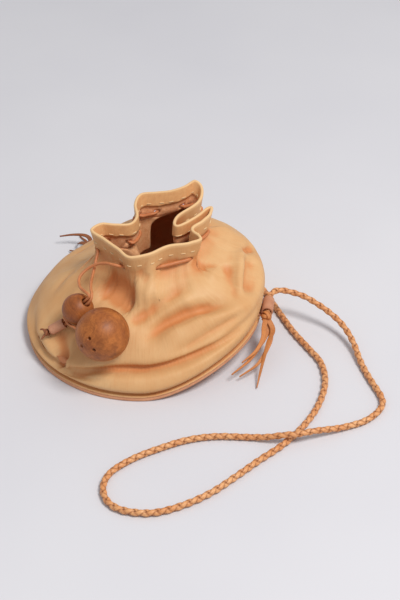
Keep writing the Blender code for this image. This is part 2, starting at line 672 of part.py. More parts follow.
def make_drawstring(collection, material, courses, grid, places):
    """The thong from its end knot through tube, bead and eyelets, and back beside itself."""
    line, side = pair_line(places["bead"], places["tube_start"], places["tube_end"])
    apart = side * THONG_SPACING / 2
    lace = lace_path(courses, grid)
    near = [point + apart for point in line]
    far = [point - apart for point in line]
    up = smooth_route(far[::-1] + [np.array(p) for p in STRAND_B_ROUTE[::-1]] + [lace[0]], 36)
    down = smooth_route([lace[-1]] + [np.array(p) for p in STRAND_A_ROUTE] + near, 32)
    return tube("drawstring", np.vstack([up[:-1], lace, down[1:]]), THONG_DIAMETER, collection, material)


def turned_ball(name, centre, radius, segments, collection, material):
    """A ball about its centre, with its object at that centre."""
    shape = bmesh.new()
    bmesh.ops.create_uvsphere(shape, u_segments=segments, v_segments=segments // 2, radius=radius)
    ball = from_bmesh(name, shape, collection, material, math.radians(40))
    ball.location = Vector(centre)
    return ball


def drill(name, centre, direction, diameter, depth, cutters, sides=16):
    """A round cutter about a centre, along a direction."""
    shape = bmesh.new()
    turned = Vector(direction).to_track_quat("Z", "Y").to_matrix().to_4x4()
    turned.translation = Vector(centre)
    bmesh.ops.create_cone(
        shape, cap_ends=True, segments=sides, radius1=diameter / 2, radius2=diameter / 2,
        depth=depth, matrix=turned,
    )
    return cutter_from(name, shape, cutters)


def make_bead(collection, cutters, material, places):
    """The small bead with its wide bore, its object at the bead's centre on the slide's axis."""
    bead = turned_ball("small_bead", places["bead"], BEAD_RADIUS, 20, collection, material)
    boolean(bead, drill("bead_bore", places["bead"], BEAD_AXIS, BEAD_BORE, 3 * BEAD_RADIUS, cutters))
    return bead


def make_ball(collection, cutters, material, places):
    """The large ball, with three small holes in its face and a socket for its loop."""
    centre = places["ball"]
    ball = turned_ball("large_ball", centre, BALL_RADIUS, 24, collection, material)
    for number, direction in enumerate(BALL_HOLE_DIRECTIONS):
        mouth = centre + unit(direction) * BALL_RADIUS
        boolean(ball, drill(
            f"ball_hole_{number}", mouth, direction, BALL_HOLE_DIAMETER, 2 * BALL_HOLE_DEPTH, cutters, 10,
        ))
    mouth = centre + unit(BALL_SOCKET_DIRECTION) * BALL_RADIUS
    boolean(ball, drill(
        "ball_socket", mouth, BALL_SOCKET_DIRECTION, BALL_SOCKET_DIAMETER, 2 * BALL_SOCKET_DEPTH,
        cutters,
    ))
    return ball


def make_loop(collection, material, courses, grid, places):
    """The short thong bent round both strands, with its two ends side by side in the ball."""
    inward = unit(BALL_SOCKET_DIRECTION)
    end = places["loop_end"]
    mouth = places["ball"] + inward * (BALL_RADIUS + LOOP_DIAMETER / 2)
    bottom = places["ball"] + inward * (BALL_RADIUS - BALL_SOCKET_DEPTH + CLEARANCE)
    out = unit(end - mouth)
    across = unit(np.cross(places["strand_way"], out))
    beside = unit(across - inward * np.dot(across, inward)) * (LOOP_DIAMETER / 2 + CLEARANCE)
    half = THONG_DIAMETER + LOOP_DIAMETER / 2 + 2 * CLEARANCE
    leg = [
        bottom + beside, (bottom + mouth) / 2 + beside, mouth + beside,
        (mouth + end) / 2 + across * half * 0.8, end + across * half,
        end + out * 0.8 * half + across * 0.75 * half,
    ]
    back = [point - 2 * across * np.dot(point - end, across) for point in leg[3:]]
    back = [*back[::-1], mouth - beside, (bottom + mouth) / 2 - beside, bottom - beside]
    points = smooth_route([*leg, end + out * 1.15 * half, *back], 34)
    inside = np.linalg.norm(points - places["ball"], axis=1) < BALL_RADIUS + LOOP_DIAMETER / 4
    line, _ = pair_line(places["bead"], places["tube_start"], places["tube_end"])
    strands = smooth_route(line[3:7], 30)
    holder = smooth_route([places["tube_start"], places["tube_end"]], 12)
    face, normal = front_face(courses, grid)
    room = LOOP_DIAMETER / 2 + CLEARANCE
    moves = [
        off_line(strands, half), off_line(holder, tube_radius() + room),
        off_point(places["bead"], BEAD_RADIUS + room), off_face(face, normal, 1.0, room),
    ]
    return tube("ball_loop", eased(points, inside, moves), LOOP_DIAMETER, collection, material)


def make_end_tube(collection, material, places):
    """The rolled leather tube that both strands pass through."""
    start, end = places["tube_start"], places["tube_end"]
    outer = tube_radius()
    inner = outer - TUBE_WALL
    half = TUBE_LENGTH / 2
    shape = bmesh.new()
    profile = [(inner, -half), (outer, -half), (outer, half), (inner, half)]
    corners = [shape.verts.new((radius, 0, height)) for radius, height in profile]
    edges = [shape.edges.new((corner, corners[number - 3])) for number, corner in enumerate(corners)]
    bmesh.ops.spin(
        shape, geom=corners + edges, cent=(0, 0, 0), axis=(0, 0, 1), angle=2 * math.pi, steps=20,
        use_merge=True,
    )
    bmesh.ops.remove_doubles(shape, verts=shape.verts, dist=1e-6)
    bmesh.ops.recalc_face_normals(shape, faces=shape.faces)
    made = from_bmesh("end_tube", shape, collection, material, math.radians(40))
    made.rotation_mode = "QUATERNION"
    made.rotation_quaternion = Vector(end - start).to_track_quat("Z", "Y")
    made.location = Vector((start + end) / 2)
    return made


def add_tail(shape, route, width, thickness, tip, count=9):
    """A flat tapering thong along a smooth route, added to the shape as a closed body."""
    points = smooth_route(route, count)
    ahead = np.gradient(points, axis=0)
    ahead /= np.linalg.norm(ahead, axis=1, keepdims=True)
    level = np.cross(ahead, (0, 0, 1))
    level /= np.linalg.norm(level, axis=1, keepdims=True)
    upright = np.cross(level, ahead)
    share = np.linspace(0, 1, count)[:, None]
    half = width / 2 * (1 - share**1.6) + tip / 2 * share**1.6
    rings = []
    for across, up in ((-1, -1), (1, -1), (1, 1), (-1, 1)):
        rings.append(points + level * half * across + upright * up * thickness / 2)
    verts = [[shape.verts.new(ring[station]) for ring in rings] for station in range(count)]
    for near, far in zip(verts[:-1], verts[1:]):
        for side in range(4):
            shape.faces.new((near[side], near[side - 3], far[side - 3], far[side]))
    shape.faces.new(verts[0][::-1])
    shape.faces.new(verts[-1])


def knotted(name, centre, radius, squash, routes, width, thickness, tip, collection, cutters, material):
    """A knot with tails: a round body joined to each of its tails."""
    shape = bmesh.new()
    bmesh.ops.create_uvsphere(shape, u_segments=12, v_segments=7, radius=radius)
    made = from_bmesh(name, shape, collection, material, math.radians(60))
    along, amount = squash
    turned = Vector(along).to_track_quat("Z", "Y").to_matrix()
    scale = Matrix.Diagonal((1, 1, amount))
    made.data.transform((turned @ scale @ turned.transposed()).to_4x4())
    made.data.transform(Matrix.Translation(Vector(centre)))
    for number, route in enumerate(routes):
        tail = bmesh.new()
        start = np.array(centre) + unit(np.array(route[0]) - centre) * 0.5 * radius
        add_tail(tail, [start, *route], width, thickness, tip)
        bmesh.ops.recalc_face_normals(tail, faces=tail.faces)
        boolean(made, cutter_from(f"{name}_tail_{number}", tail, cutters), "UNION")
    return made


def keeper_frame(side):
    """Centre of a keeper's bore, its axis along the rim, and the radial direction there."""
    turn = math.radians(KEEPER_TURNS[side])
    radial = np.array([math.cos(turn), math.sin(turn), 0.0])
    along = np.array([-math.sin(turn), math.cos(turn), 0.0])
    outer = STRAP_DIAMETER / 2 + CLEARANCE + KEEPER_WALL
    seat = radial * BASE_RADIUS
    ends = [seat + along * KEEPER_LENGTH / 2 * way for way in (-1, 1)]
    height = flange_top() + max(float(rim_lift(*end[:2])) for end in ends) + CLEARANCE
    centre = seat + radial * (KEEPER_OUTSET + outer) + np.array([0, 0, height + outer])
    return centre, along, radial


def make_keeper(side, collection, material):
    """A leather keeper: a tube for the strap with a tongue on the flange, in one outline."""
    centre, along, radial = keeper_frame(side)
    inner = STRAP_DIAMETER / 2 + CLEARANCE
    outer = inner + KEEPER_WALL
    tongue_end = -(outer + KEEPER_OUTSET + KEEPER_TONGUE)
    tongue_top = -outer + LEATHER_THICKNESS
    lift = math.asin(-tongue_top / outer)
    sweep = np.linspace(-math.pi / 2, math.pi + lift, 22)
    outline = [(outer * math.cos(angle), outer * math.sin(angle)) for angle in sweep]
    outline += [(tongue_end, tongue_top), (tongue_end, -outer)]
    hole = [(inner * math.cos(angle), inner * math.sin(angle)) for angle in np.linspace(0, 2 * math.pi, 16, endpoint=False)]
    curve = bpy.data.curves.new(f"strap_keeper_{side}", "CURVE")
    curve.dimensions = "2D"
    curve.fill_mode = "BOTH"
    curve.extrude = KEEPER_LENGTH / 2
    for points in (outline, hole):
        line = curve.splines.new("POLY")
        line.points.add(len(points) - 1)
        line.points.foreach_set("co", [value for x, y in points for value in (x, y, 0.0, 1.0)])
        line.use_cyclic_u = True
    made = bpy.data.objects.new(f"strap_keeper_{side}", curve)
    collection.objects.link(made)
    curve.materials.append(material)
    pose = Matrix(np.stack([radial, (0, 0, 1), np.cross(radial, (0, 0, 1))], axis=1).tolist()).to_4x4()
    pose.translation = Vector(centre)
    made.matrix_world = pose
    return made


def strap_ends():
    """Where the strap ends beyond each keeper, and the way it leaves there."""
    right, along_right, _ = keeper_frame("right")
    left, along_left, _ = keeper_frame("left")
    beyond = KEEPER_LENGTH / 2 + CLEARANCE
    return (right - along_right * beyond, -along_right), (left + along_left * beyond, along_left)


def make_strap(collection, material):
    """The strap from one keeper's knot to the other's, straight through each keeper."""
    (start, _), (end, _) = strap_ends()
    right, along_right, _ = keeper_frame("right")
    left, along_left, _ = keeper_frame("left")
    straight = KEEPER_LENGTH / 2 + STRAP_DIAMETER / 4
    route = [right + along_right * straight, *STRAP_ROUTE, left - along_left * straight]
    points = np.vstack([start, smooth_route(route, STRAP_POINTS - 2), end])
    return tube("strap", points, STRAP_DIAMETER, collection, material)


def tube_radius():
    """Outer radius of the end tube, which holds two strands side by side."""
    return THONG_SPACING / 2 + THONG_DIAMETER / 2 + CLEARANCE + TUBE_WALL


def seat_places(courses, grid):
    """Places of the beads and the tube on the wall, and of the knot and the ball's loop."""
    point = np.zeros((1, 3))
    bead, _ = seated(BEAD_SEAT, point, BEAD_RADIUS, courses, grid)
    ball, _ = seated(BALL_SEAT, point, BALL_RADIUS, courses, grid)
    turn, course = TUBE_SEAT
    ahead, behind = on_grid(grid, courses, [turn - 3, turn + 3], [course - 0.45, course + 0.45])
    _, lean = seated(TUBE_SEAT, point, tube_radius(), courses, grid)
    axis = unit(ahead - behind)
    axis = unit(axis - lean * np.dot(axis, lean))
    length = np.linspace(-0.5, 0.5, 9)[:, None] * TUBE_LENGTH * axis
    middle, _ = seated(TUBE_SEAT, length, tube_radius(), courses, grid)
    places = {"bead": bead, "ball": ball, "tube_start": middle - axis * TUBE_LENGTH / 2}
    places["tube_end"] = middle + axis * TUBE_LENGTH / 2
    line, _ = pair_line(bead, places["tube_start"], places["tube_end"])
    places["loop_end"] = (line[4] + line[5]) / 2
    places["strand_way"] = unit(line[5] - line[4])
    places["knot"] = line[-1] + axis * (KNOT_RADIUS * 0.8 + CLEARANCE)
    places["knot_axis"] = axis
    return places


def main():
    """Build every piece of the bag."""
    clear_scene()
    collection = new_collection(COLLECTION_NAME)
    cutters = new_collection("cutters")
    thong = leather("thong", COLOURS["thong"], 0.6)
    wood = leather("wood", COLOURS["wood"], 0.38)
    rolled = leather("keeper", COLOURS["keeper"], 0.65)
    braid = leather("braid", COLOURS["braid"], 0.55)

    courses, grid = wall_grid(WALL_COLUMNS, STEPS_PER_COURSE)
    places = seat_places(courses, grid)
    make_sole(collection)
    make_wall(collection, cutters, courses, grid)
    make_drawstring(collection, thong, courses, grid, places)
    make_bead(collection, cutters, wood, places)
    make_ball(collection, cutters, wood, places)
    make_loop(collection, thong, courses, grid, places)
    make_end_tube(collection, rolled, places)
    tips = [[places["knot"] + np.array(step) for step in tip] for tip in END_TIPS]
    knotted(
        "end_knot", places["knot"], KNOT_RADIUS, (places["knot_axis"], 0.8), tips,
        THONG_DIAMETER * 0.9, THONG_DIAMETER * 0.5, TAIL_TIP, collection, cutters, thong,
    )
    make_strap(collection, braid)
    for side, (end, leaving) in zip(("right", "left"), strap_ends()):
        make_keeper(side, collection, rolled)
        centre = end + leaving * (STRAP_KNOT_RADIUS + CLEARANCE)
        knotted(
            f"strap_end_{side}", centre, STRAP_KNOT_RADIUS, (leaving, 1.0), TAIL_ROUTES[side],
            TAIL_WIDTH, TAIL_THICKNESS, TAIL_TIP, collection, cutters, braid,
        )


main()
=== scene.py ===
"""Dressed model of a soft leather drawstring bag with wooden beads and a braided strap.

Lengths are in metres and turns in degrees about +Z from +X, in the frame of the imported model. A
course is a place up the bag's wall: 0 is the flange's edge and 11 the mouth's edge.
"""

import logging
import math
from dataclasses import dataclass, field
from enum import Enum

import bpy
import numpy as np
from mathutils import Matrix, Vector


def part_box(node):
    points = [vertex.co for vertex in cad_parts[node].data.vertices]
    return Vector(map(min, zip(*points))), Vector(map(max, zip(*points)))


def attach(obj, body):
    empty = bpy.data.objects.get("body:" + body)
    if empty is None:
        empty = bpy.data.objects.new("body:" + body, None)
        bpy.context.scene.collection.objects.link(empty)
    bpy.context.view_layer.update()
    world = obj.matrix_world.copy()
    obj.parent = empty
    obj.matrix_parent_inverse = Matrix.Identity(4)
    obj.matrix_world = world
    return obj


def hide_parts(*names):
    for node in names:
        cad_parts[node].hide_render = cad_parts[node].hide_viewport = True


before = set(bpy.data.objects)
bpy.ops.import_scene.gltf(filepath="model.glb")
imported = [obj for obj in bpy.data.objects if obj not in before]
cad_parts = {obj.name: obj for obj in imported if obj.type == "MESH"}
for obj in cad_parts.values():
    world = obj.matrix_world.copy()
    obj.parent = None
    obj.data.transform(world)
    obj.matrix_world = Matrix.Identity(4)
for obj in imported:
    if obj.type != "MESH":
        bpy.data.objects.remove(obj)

Array = np.ndarray
Socket = bpy.types.NodeSocket
Material = bpy.types.Material
LOG = logging.getLogger("drawstring_bag")
GRAIN_RADIUS = 0.1


class Body(Enum):
    """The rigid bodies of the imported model."""

    BAG = "bag"
    BEAD = "bead"


class Slot(Enum):
    """The record's material slots."""

    SOLE = "sole"
    WALL = "bag_wall"
    THONG = "thong"
    WOOD = "wood"
    KEEPER = "keeper"
    BRAID = "braid"


class Side(Enum):
    """The two sides of the bag that a strap keeper is on."""

    RIGHT = "right"
    LEFT = "left"


def tint(red: int, green: int, blue: int) -> tuple[float, float, float, float]:
    """A colour written as 0 to 255 per channel, as linear values with full opacity."""
    share = np.array([red, green, blue]) / 255
    linear = np.where(share <= 0.04045, share / 12.92, ((share + 0.055) / 1.055) ** 2.4)
    return (*linear.tolist(), 1.0)


def unit(vector: Array) -> Array:
    """The vector, or each row's vector, at length one."""
    vector = np.asarray(vector, float)
    return vector / np.linalg.norm(vector, axis=-1, keepdims=True)


def eased_share(share: Array) -> Array:
    """Smooth step 3s^2 - 2s^3 of a share clipped to 0..1."""
    share = np.clip(share, 0.0, 1.0)
    return share * share * (3 - 2 * share)


def hermite(start: Array, leave: Array, arrive: Array, end: Array, share: Array) -> Array:
    """Cubic curve from start to end whose end slopes are leave and arrive.

    p(s) = (2s^3 - 3s^2 + 1) start + (s^3 - 2s^2 + s) leave + (3s^2 - 2s^3) end + (s^3 - s^2) arrive

    Args:
        start: Where the curve starts.
        leave: Its slope there.
        arrive: Its slope at the end.
        end: Where it ends.
        share: Places along it, from 0 to 1.

    Returns:
        The curve's points.
    """
    return (
        (2 * share**3 - 3 * share**2 + 1) * start
        + (share**3 - 2 * share**2 + share) * leave
        + (3 * share**2 - 2 * share**3) * end
        + (share**3 - share**2) * arrive
    )


def lengths_along(points: Array) -> Array:
    """Length from a line's first point to each of its points."""
    return np.r_[0, np.cumsum(np.linalg.norm(np.diff(points, axis=0), axis=1))]


def route_points(points: Array, count: int) -> Array:
    """Evenly spaced points on the smooth curve through a route.

    Each leg is the cubic with end slopes (next - before) / 2, and the curve is read again at equal
    lengths along it.

    Args:
        points: The route's points, in order.
        count: How many points to return.

    Returns:
        The points, from the route's first to its last.
    """
    route = np.asarray(points, float)
    route = np.vstack([2 * route[0] - route[1], route, 2 * route[-1] - route[-2]])
    share = np.linspace(0, 1, 24, endpoint=False)[None, :, None]
    start, end = route[1:-2, None], route[2:-1, None]
    leave, arrive = (end - route[:-3, None]) / 2, (route[3:, None] - start) / 2
    dense = np.vstack([hermite(start, leave, arrive, end, share).reshape(-1, 3), route[-2]])
    along = lengths_along(dense)
    where = np.linspace(0, along[-1], count)
    return np.stack([np.interp(where, along, dense[:, axis]) for axis in range(3)], axis=1)


def carried_frames(points: Array) -> tuple[Array, Array, Array]:
    """Ahead, side and up directions that turn as little as they can along a line.

    Args:
        points: The line's points.

    Returns:
        Three arrays of unit vectors, one row for each point.
    """
    ahead = unit(np.gradient(points, axis=0))
    start = np.cross(ahead[0], (0.0, 0.0, 1.0))
    if np.linalg.norm(start) < 0.2:
        start = np.cross(ahead[0], (1.0, 0.0, 0.0))
    sides = [unit(start)]
    for heading in ahead[1:]:
        sides.append(unit(sides[-1] - heading * np.dot(sides[-1], heading)))
    side = np.array(sides)
    return ahead, side, np.cross(side, ahead)


@dataclass
class Surface:
    """A mesh in the making: points, faces and one value of each attribute for every point."""

    points: Array
    faces: list[Array]
    attributes: dict[str, Array] = field(default_factory=dict)

    @classmethod
    def grid(cls, points: Array, round_rows: bool, round_columns: bool, caps: bool = False) -> "Surface":
        """Quads over rows and columns of points, facing along (column step) x (row step).

        Args:
            points: Array of rows, columns and three values.
            round_rows: Whether the last row joins the first.
            round_columns: Whether the last column joins the first.
            caps: Whether a fan about a middle point closes the first and the last row.

        Returns:
            The surface.
        """
        rows, columns = points.shape[:2]
        number = np.arange(rows * columns).reshape(rows, columns)
        tall = number if round_rows else number[:-1]
        above = np.roll(number, -1, axis=0) if round_rows else number[1:]
        low_left = tall if round_columns else tall[:, :-1]
        low_right = np.roll(tall, -1, axis=1) if round_columns else tall[:, 1:]
        top_left = above if round_columns else above[:, :-1]
        top_right = np.roll(above, -1, axis=1) if round_columns else above[:, 1:]
        quads = np.stack([low_left, low_right, top_right, top_left], axis=2).reshape(-1, 4)
        flat = points.reshape(-1, 3)
        faces = [quads]
        if caps:
            first, last = number[0], number[-1]
            low, high = len(flat), len(flat) + 1
            flat = np.vstack([flat, points[0].mean(axis=0), points[-1].mean(axis=0)])
            faces.append(np.stack([np.roll(first, -1), first, np.full(columns, low)], axis=1))
            faces.append(np.stack([last, np.roll(last, -1), np.full(columns, high)], axis=1))
        return cls(flat, faces)

    @classmethod
    def ball(cls, centre: Array, radius: float, rows: int, columns: int) -> "Surface":
        """A ball of level rings, p = centre + radius (sin b cos a, sin b sin a, cos b)."""
        fall = np.linspace(math.pi, 0, rows + 2)[1:-1, None]
        turn = np.arange(columns)[None] / columns * 2 * math.pi
        ring = [np.sin(fall) * np.cos(turn), np.sin(fall) * np.sin(turn), np.cos(fall) + 0 * turn]
        return cls.grid(centre + radius * np.stack(ring, axis=2), False, True, caps=True)

    def painted(self, **values: Array) -> "Surface":
        """The surface with more attributes; a shorter one is filled up with its last value."""
        for name, value in values.items():
            value = np.asarray(value, float)
            width = value.shape[-1] if value.ndim == 3 else None
            value = value.reshape(-1, width) if width else value.reshape(-1)
            missing = len(self.points) - len(value)
            self.attributes[name] = np.concatenate([value, np.repeat(value[-1:], missing, axis=0)])
        return self

    def joined(self, other: "Surface") -> "Surface":
        """This surface and another as one mesh of separate shells."""
        shift = len(self.points)
        shared = {
            name: np.concatenate([value, other.attributes[name]]) for name, value in self.attributes.items()
        }
        faces = self.faces + [face + shift for face in other.faces]
        return Surface(np.vstack([self.points, other.points]), faces, shared)

    def flipped(self) -> "Surface":
        """The surface facing the other way."""
        return Surface(self.points, [face[:, ::-1] for face in self.faces], self.attributes)

    def mesh(self, name: str) -> bpy.types.Mesh:
        """The surface as a mesh with its attributes."""
        made = bpy.data.meshes.new(name)
        corners = np.concatenate([face.ravel() for face in self.faces])
        sizes = np.concatenate([np.full(len(face), face.shape[1]) for face in self.faces])
        made.vertices.add(len(self.points))
        made.vertices.foreach_set("co", self.points.astype(np.float32).ravel())
        made.loops.add(len(corners))
        made.loops.foreach_set("vertex_index", corners.astype(np.int32))
        made.polygons.add(len(sizes))
        made.polygons.foreach_set("loop_start", np.r_[0, np.cumsum(sizes)[:-1]].astype(np.int32))
        made.polygons.foreach_set("loop_total", sizes.astype(np.int32))
        made.update(calc_edges=True)
        made.shade_smooth()
        for label, value in self.attributes.items():
            if value.ndim == 2:
                layer = made.attributes.new(label, "FLOAT_VECTOR", "POINT")
                layer.data.foreach_set("vector", value.astype(np.float32).ravel())
            else:
                layer = made.attributes.new(label, "FLOAT", "POINT")
                layer.data.foreach_set("value", value.astype(np.float32))
        return made


def placed(
    shape: Surface | bpy.types.Mesh, name: str, finish: "Finish", slot: Slot, body: Body, *nodes: str,
) -> bpy.types.Object:
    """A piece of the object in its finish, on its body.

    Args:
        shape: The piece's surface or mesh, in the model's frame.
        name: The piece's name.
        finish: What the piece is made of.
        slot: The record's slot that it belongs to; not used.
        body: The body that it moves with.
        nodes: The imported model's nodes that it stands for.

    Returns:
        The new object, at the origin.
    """
    mesh = shape.mesh(name) if isinstance(shape, Surface) else shape
    mesh.materials.append(finish.material())
    made = bpy.data.objects.new(name, mesh)
    bpy.context.scene.collection.objects.link(made)
    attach(made, body.value)
    if nodes:
        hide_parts(*nodes)
    LOG.info("%s: %d points", name, len(mesh.vertices))
    return made


def carved(surface: Surface, cutter: Surface, name: str) -> bpy.types.Mesh:
    """The mesh of a surface with another closed surface cut out of it."""
    work = bpy.data.objects.new(name, surface.mesh(name))
    tool = bpy.data.objects.new(f"{name}_cutter", cutter.mesh(f"{name}_cutter"))
    for held in (work, tool):
        bpy.context.scene.collection.objects.link(held)
    cut = work.modifiers.new("cut", "BOOLEAN")
    cut.operation = "DIFFERENCE"
    cut.solver = "EXACT"
    cut.object = tool
    done = bpy.data.meshes.new_from_object(work.evaluated_get(bpy.context.evaluated_depsgraph_get()))
    done.name = name
    for held in (work, tool):
        bpy.data.objects.remove(held, do_unlink=True)
    return done


def tube_surface(points: Array, radius: Array | float, sides: int) -> Surface:
    """A round tube: p(s, a) = line(s) + r(s) (cos a side(s) - sin a up(s)), with fanned ends.

    Args:
        points: The line's points.
        radius: The tube's radius, one value or one for each point.
        sides: How many points there are round the tube.

    Returns:
        The surface, with "around" and "along" attributes in metres.
    """
    _, side, up = carried_frames(points)
    angle = np.arange(sides) / sides * 2 * math.pi
    radius = np.broadcast_to(np.asarray(radius, float), len(points))[:, None, None]
    ring = np.cos(angle)[None, :, None] * side[:, None] - np.sin(angle)[None, :, None] * up[:, None]
    grid = points[:, None] + radius * ring
    around = np.stack([np.cos(angle), np.sin(angle), 0 * angle], axis=1)
    return Surface.grid(grid, False, True, caps=True).painted(
        along=np.repeat(lengths_along(points)[:, None], sides, axis=1),
        around=np.broadcast_to(around, grid.shape),
    )


def strip_surface(
    line: Array, across: Array, normal: Array, width: Array | float, thickness: Array | float, corner: float,
) -> Surface:
    """A flat strap: a rounded rectangle carried along a line.

    The section's outline is the curve |x|^n + |y|^n = 1 with n = 2 / corner, stretched to half the
    width along the across direction and half the thickness along the normal.

    Args:
        line: The middle line's points.
        across: The width's direction at each point.
        normal: The thickness's direction at each point.
        width: Full width, one value or one for each point.
        thickness: Full thickness, one value or one for each point.
        corner: How round the section's corners are, from 0 to 1.

    Returns:
        The closed surface, with "along", "edge" and "around" attributes.
    """
    angle = (np.arange(20) + 0.5) / 20 * 2 * math.pi
    x = np.sign(np.cos(angle)) * np.abs(np.cos(angle)) ** corner
    y = np.sign(np.sin(angle)) * np.abs(np.sin(angle)) ** corner
    half_width = np.broadcast_to(np.asarray(width, float), len(line))[:, None, None] / 2
    half_thick = np.broadcast_to(np.asarray(thickness, float), len(line))[:, None, None] / 2
    grid = line[:, None] + half_width * x[None, :, None] * across[:, None]
    grid = grid + half_thick * y[None, :, None] * normal[:, None]
    surface = Surface.grid(grid, False, True, caps=True)
    ahead = unit(np.gradient(line, axis=0))
    if np.sum(np.cross(across, normal) * ahead) > 0:
        surface = surface.flipped()
    return surface.painted(
        along=np.repeat(lengths_along(line)[:, None], len(angle), axis=1),
        edge=np.broadcast_to(np.abs(x), grid.shape[:2]),
        around=np.broadcast_to(np.stack([x, y, 0 * x], axis=1), grid.shape),
    )


class Graph:
    """A material's nodes, added and linked by name."""

    def __init__(self, name: str) -> None:
        """Start a material with its shader."""
        self.material = bpy.data.materials.new(name)
        self.material.use_nodes = True
        self.tree = self.material.node_tree
        self.shader = self.tree.nodes["Principled BSDF"]
        self.columns = 0

    def add(self, kind: str, inputs: dict | None = None, **settings: object) -> bpy.types.Node:
        """A node of a kind, with its settings, and with values or sockets put into its inputs."""
        node = self.tree.nodes.new(kind)
        self.columns += 1
        node.location = (-220 * (self.columns % 8) - 300, -180 * (self.columns // 8))
        for label, value in settings.items():
            setattr(node, label, value)
        for label, value in (inputs or {}).items():
            self.put(node.inputs[label], value)
        return node

    def put(self, socket: Socket, value: object) -> None:
        """Put a value, or another node's socket, into an input."""
        if isinstance(value, Socket):
            self.tree.links.new(value, socket)
        else:
            socket.default_value = value

    def attribute(self, name: str, vector: bool = False) -> Socket:
        """A named attribute of the mesh, as a number or a vector."""
        return self.add("ShaderNodeAttribute", attribute_name=name).outputs["Vector" if vector else "Fac"]

    def place(self) -> Socket:
        """The point's place in the model's frame."""
        return self.add("ShaderNodeTexCoord").outputs["Object"]

    def stretched(self, vector: Socket, scale: tuple[float, float, float]) -> Socket:
        """A vector with each of its parts scaled."""
        return self.add("ShaderNodeMapping", {"Vector": vector, "Scale": scale}).outputs["Vector"]

    def noise(self, vector: Socket, scale: float, detail: float = 3.0, rough: float = 0.5) -> Socket:
        """Fractal noise of a scale per metre."""
        inputs = {"Vector": vector, "Scale": scale, "Detail": detail, "Roughness": rough}
        return self.add("ShaderNodeTexNoise", inputs).outputs["Fac"]

    def ranged(
        self, value: Socket, low: float, high: float, to_low: float = 0.0, to_high: float = 1.0,
    ) -> Socket:
        """A value carried from one range to another and clamped there."""
        inputs = {"Value": value, "From Min": low, "From Max": high, "To Min": to_low, "To Max": to_high}
        return self.add("ShaderNodeMapRange", inputs).outputs["Result"]

    def darkened(
        self, colour: object, mask: Socket, low: float, high: float, share: float, dark: object,
    ) -> Socket:
        """A colour mixed with a dark one, by a share that grows as the mask goes from low to high."""
        return self.mixed(self.ranged(mask, low, high, 0.0, share), colour, dark)

    def maths(self, operation: str, first: object, second: object) -> Socket:
        """A sum, product or other operation of two values."""
        node = self.add("ShaderNodeMath", operation=operation)
        self.put(node.inputs[0], first)
        self.put(node.inputs[1], second)
        return node.outputs[0]

    def vectors(self, operation: str, inputs: dict) -> Socket:
        """A sum, scaling or other operation of vectors."""
        return self.add("ShaderNodeVectorMath", inputs, operation=operation).outputs[0]

    def bands(self, vector: Socket, direction: str, shape: dict) -> Socket:
        """Wavy bands across a direction, with their scale and distortion."""
        node = self.add("ShaderNodeTexWave", {"Vector": vector, **shape}, wave_type="BANDS")
        node.bands_direction = direction
        return node.outputs["Fac"]

    def mixed(self, share: object, first: object, second: object, blend: str = "MIX") -> Socket:
        """Two colours mixed by a share of the second."""
        node = self.add("ShaderNodeMix", data_type="RGBA", blend_type=blend)
        self.put(node.inputs["Factor"], share)
        self.put(node.inputs["A"], first)
        self.put(node.inputs["B"], second)
        return node.outputs["Result"]

    def bump(self, height: Socket, distance: float, strength: float = 1.0, base: object = None) -> Socket:
        """A bump of a height in metres, on top of another one."""
        inputs = {"Height": height, "Distance": distance, "Strength": strength}
        if base is not None:
            inputs["Normal"] = base
        return self.add("ShaderNodeBump", inputs).outputs["Normal"]

    def finish(
        self, colour: object, roughness: object, normal: object = None, **constants: float,
    ) -> Material:
        """Link the shader and set its constant inputs by their own names."""
        self.put(self.shader.inputs["Base Color"], colour)
        self.put(self.shader.inputs["Roughness"], roughness)
        if normal is not None:
            self.put(self.shader.inputs["Normal"], normal)
        for label, value in constants.items():
            self.shader.inputs[label.replace("_", " ")].default_value = value
        return self.material


@dataclass(frozen=True)
class Finish:
    """A named finish whose material is made once."""

    name: str

    def material(self) -> Material:
        """The finish's material, made at its first use."""
        held = bpy.data.materials.get(self.name)
        return held if held else self.make(Graph(self.name))

    def make(self, graph: Graph) -> Material:
        """Build the material; each kind of finish has its own."""
        raise NotImplementedError


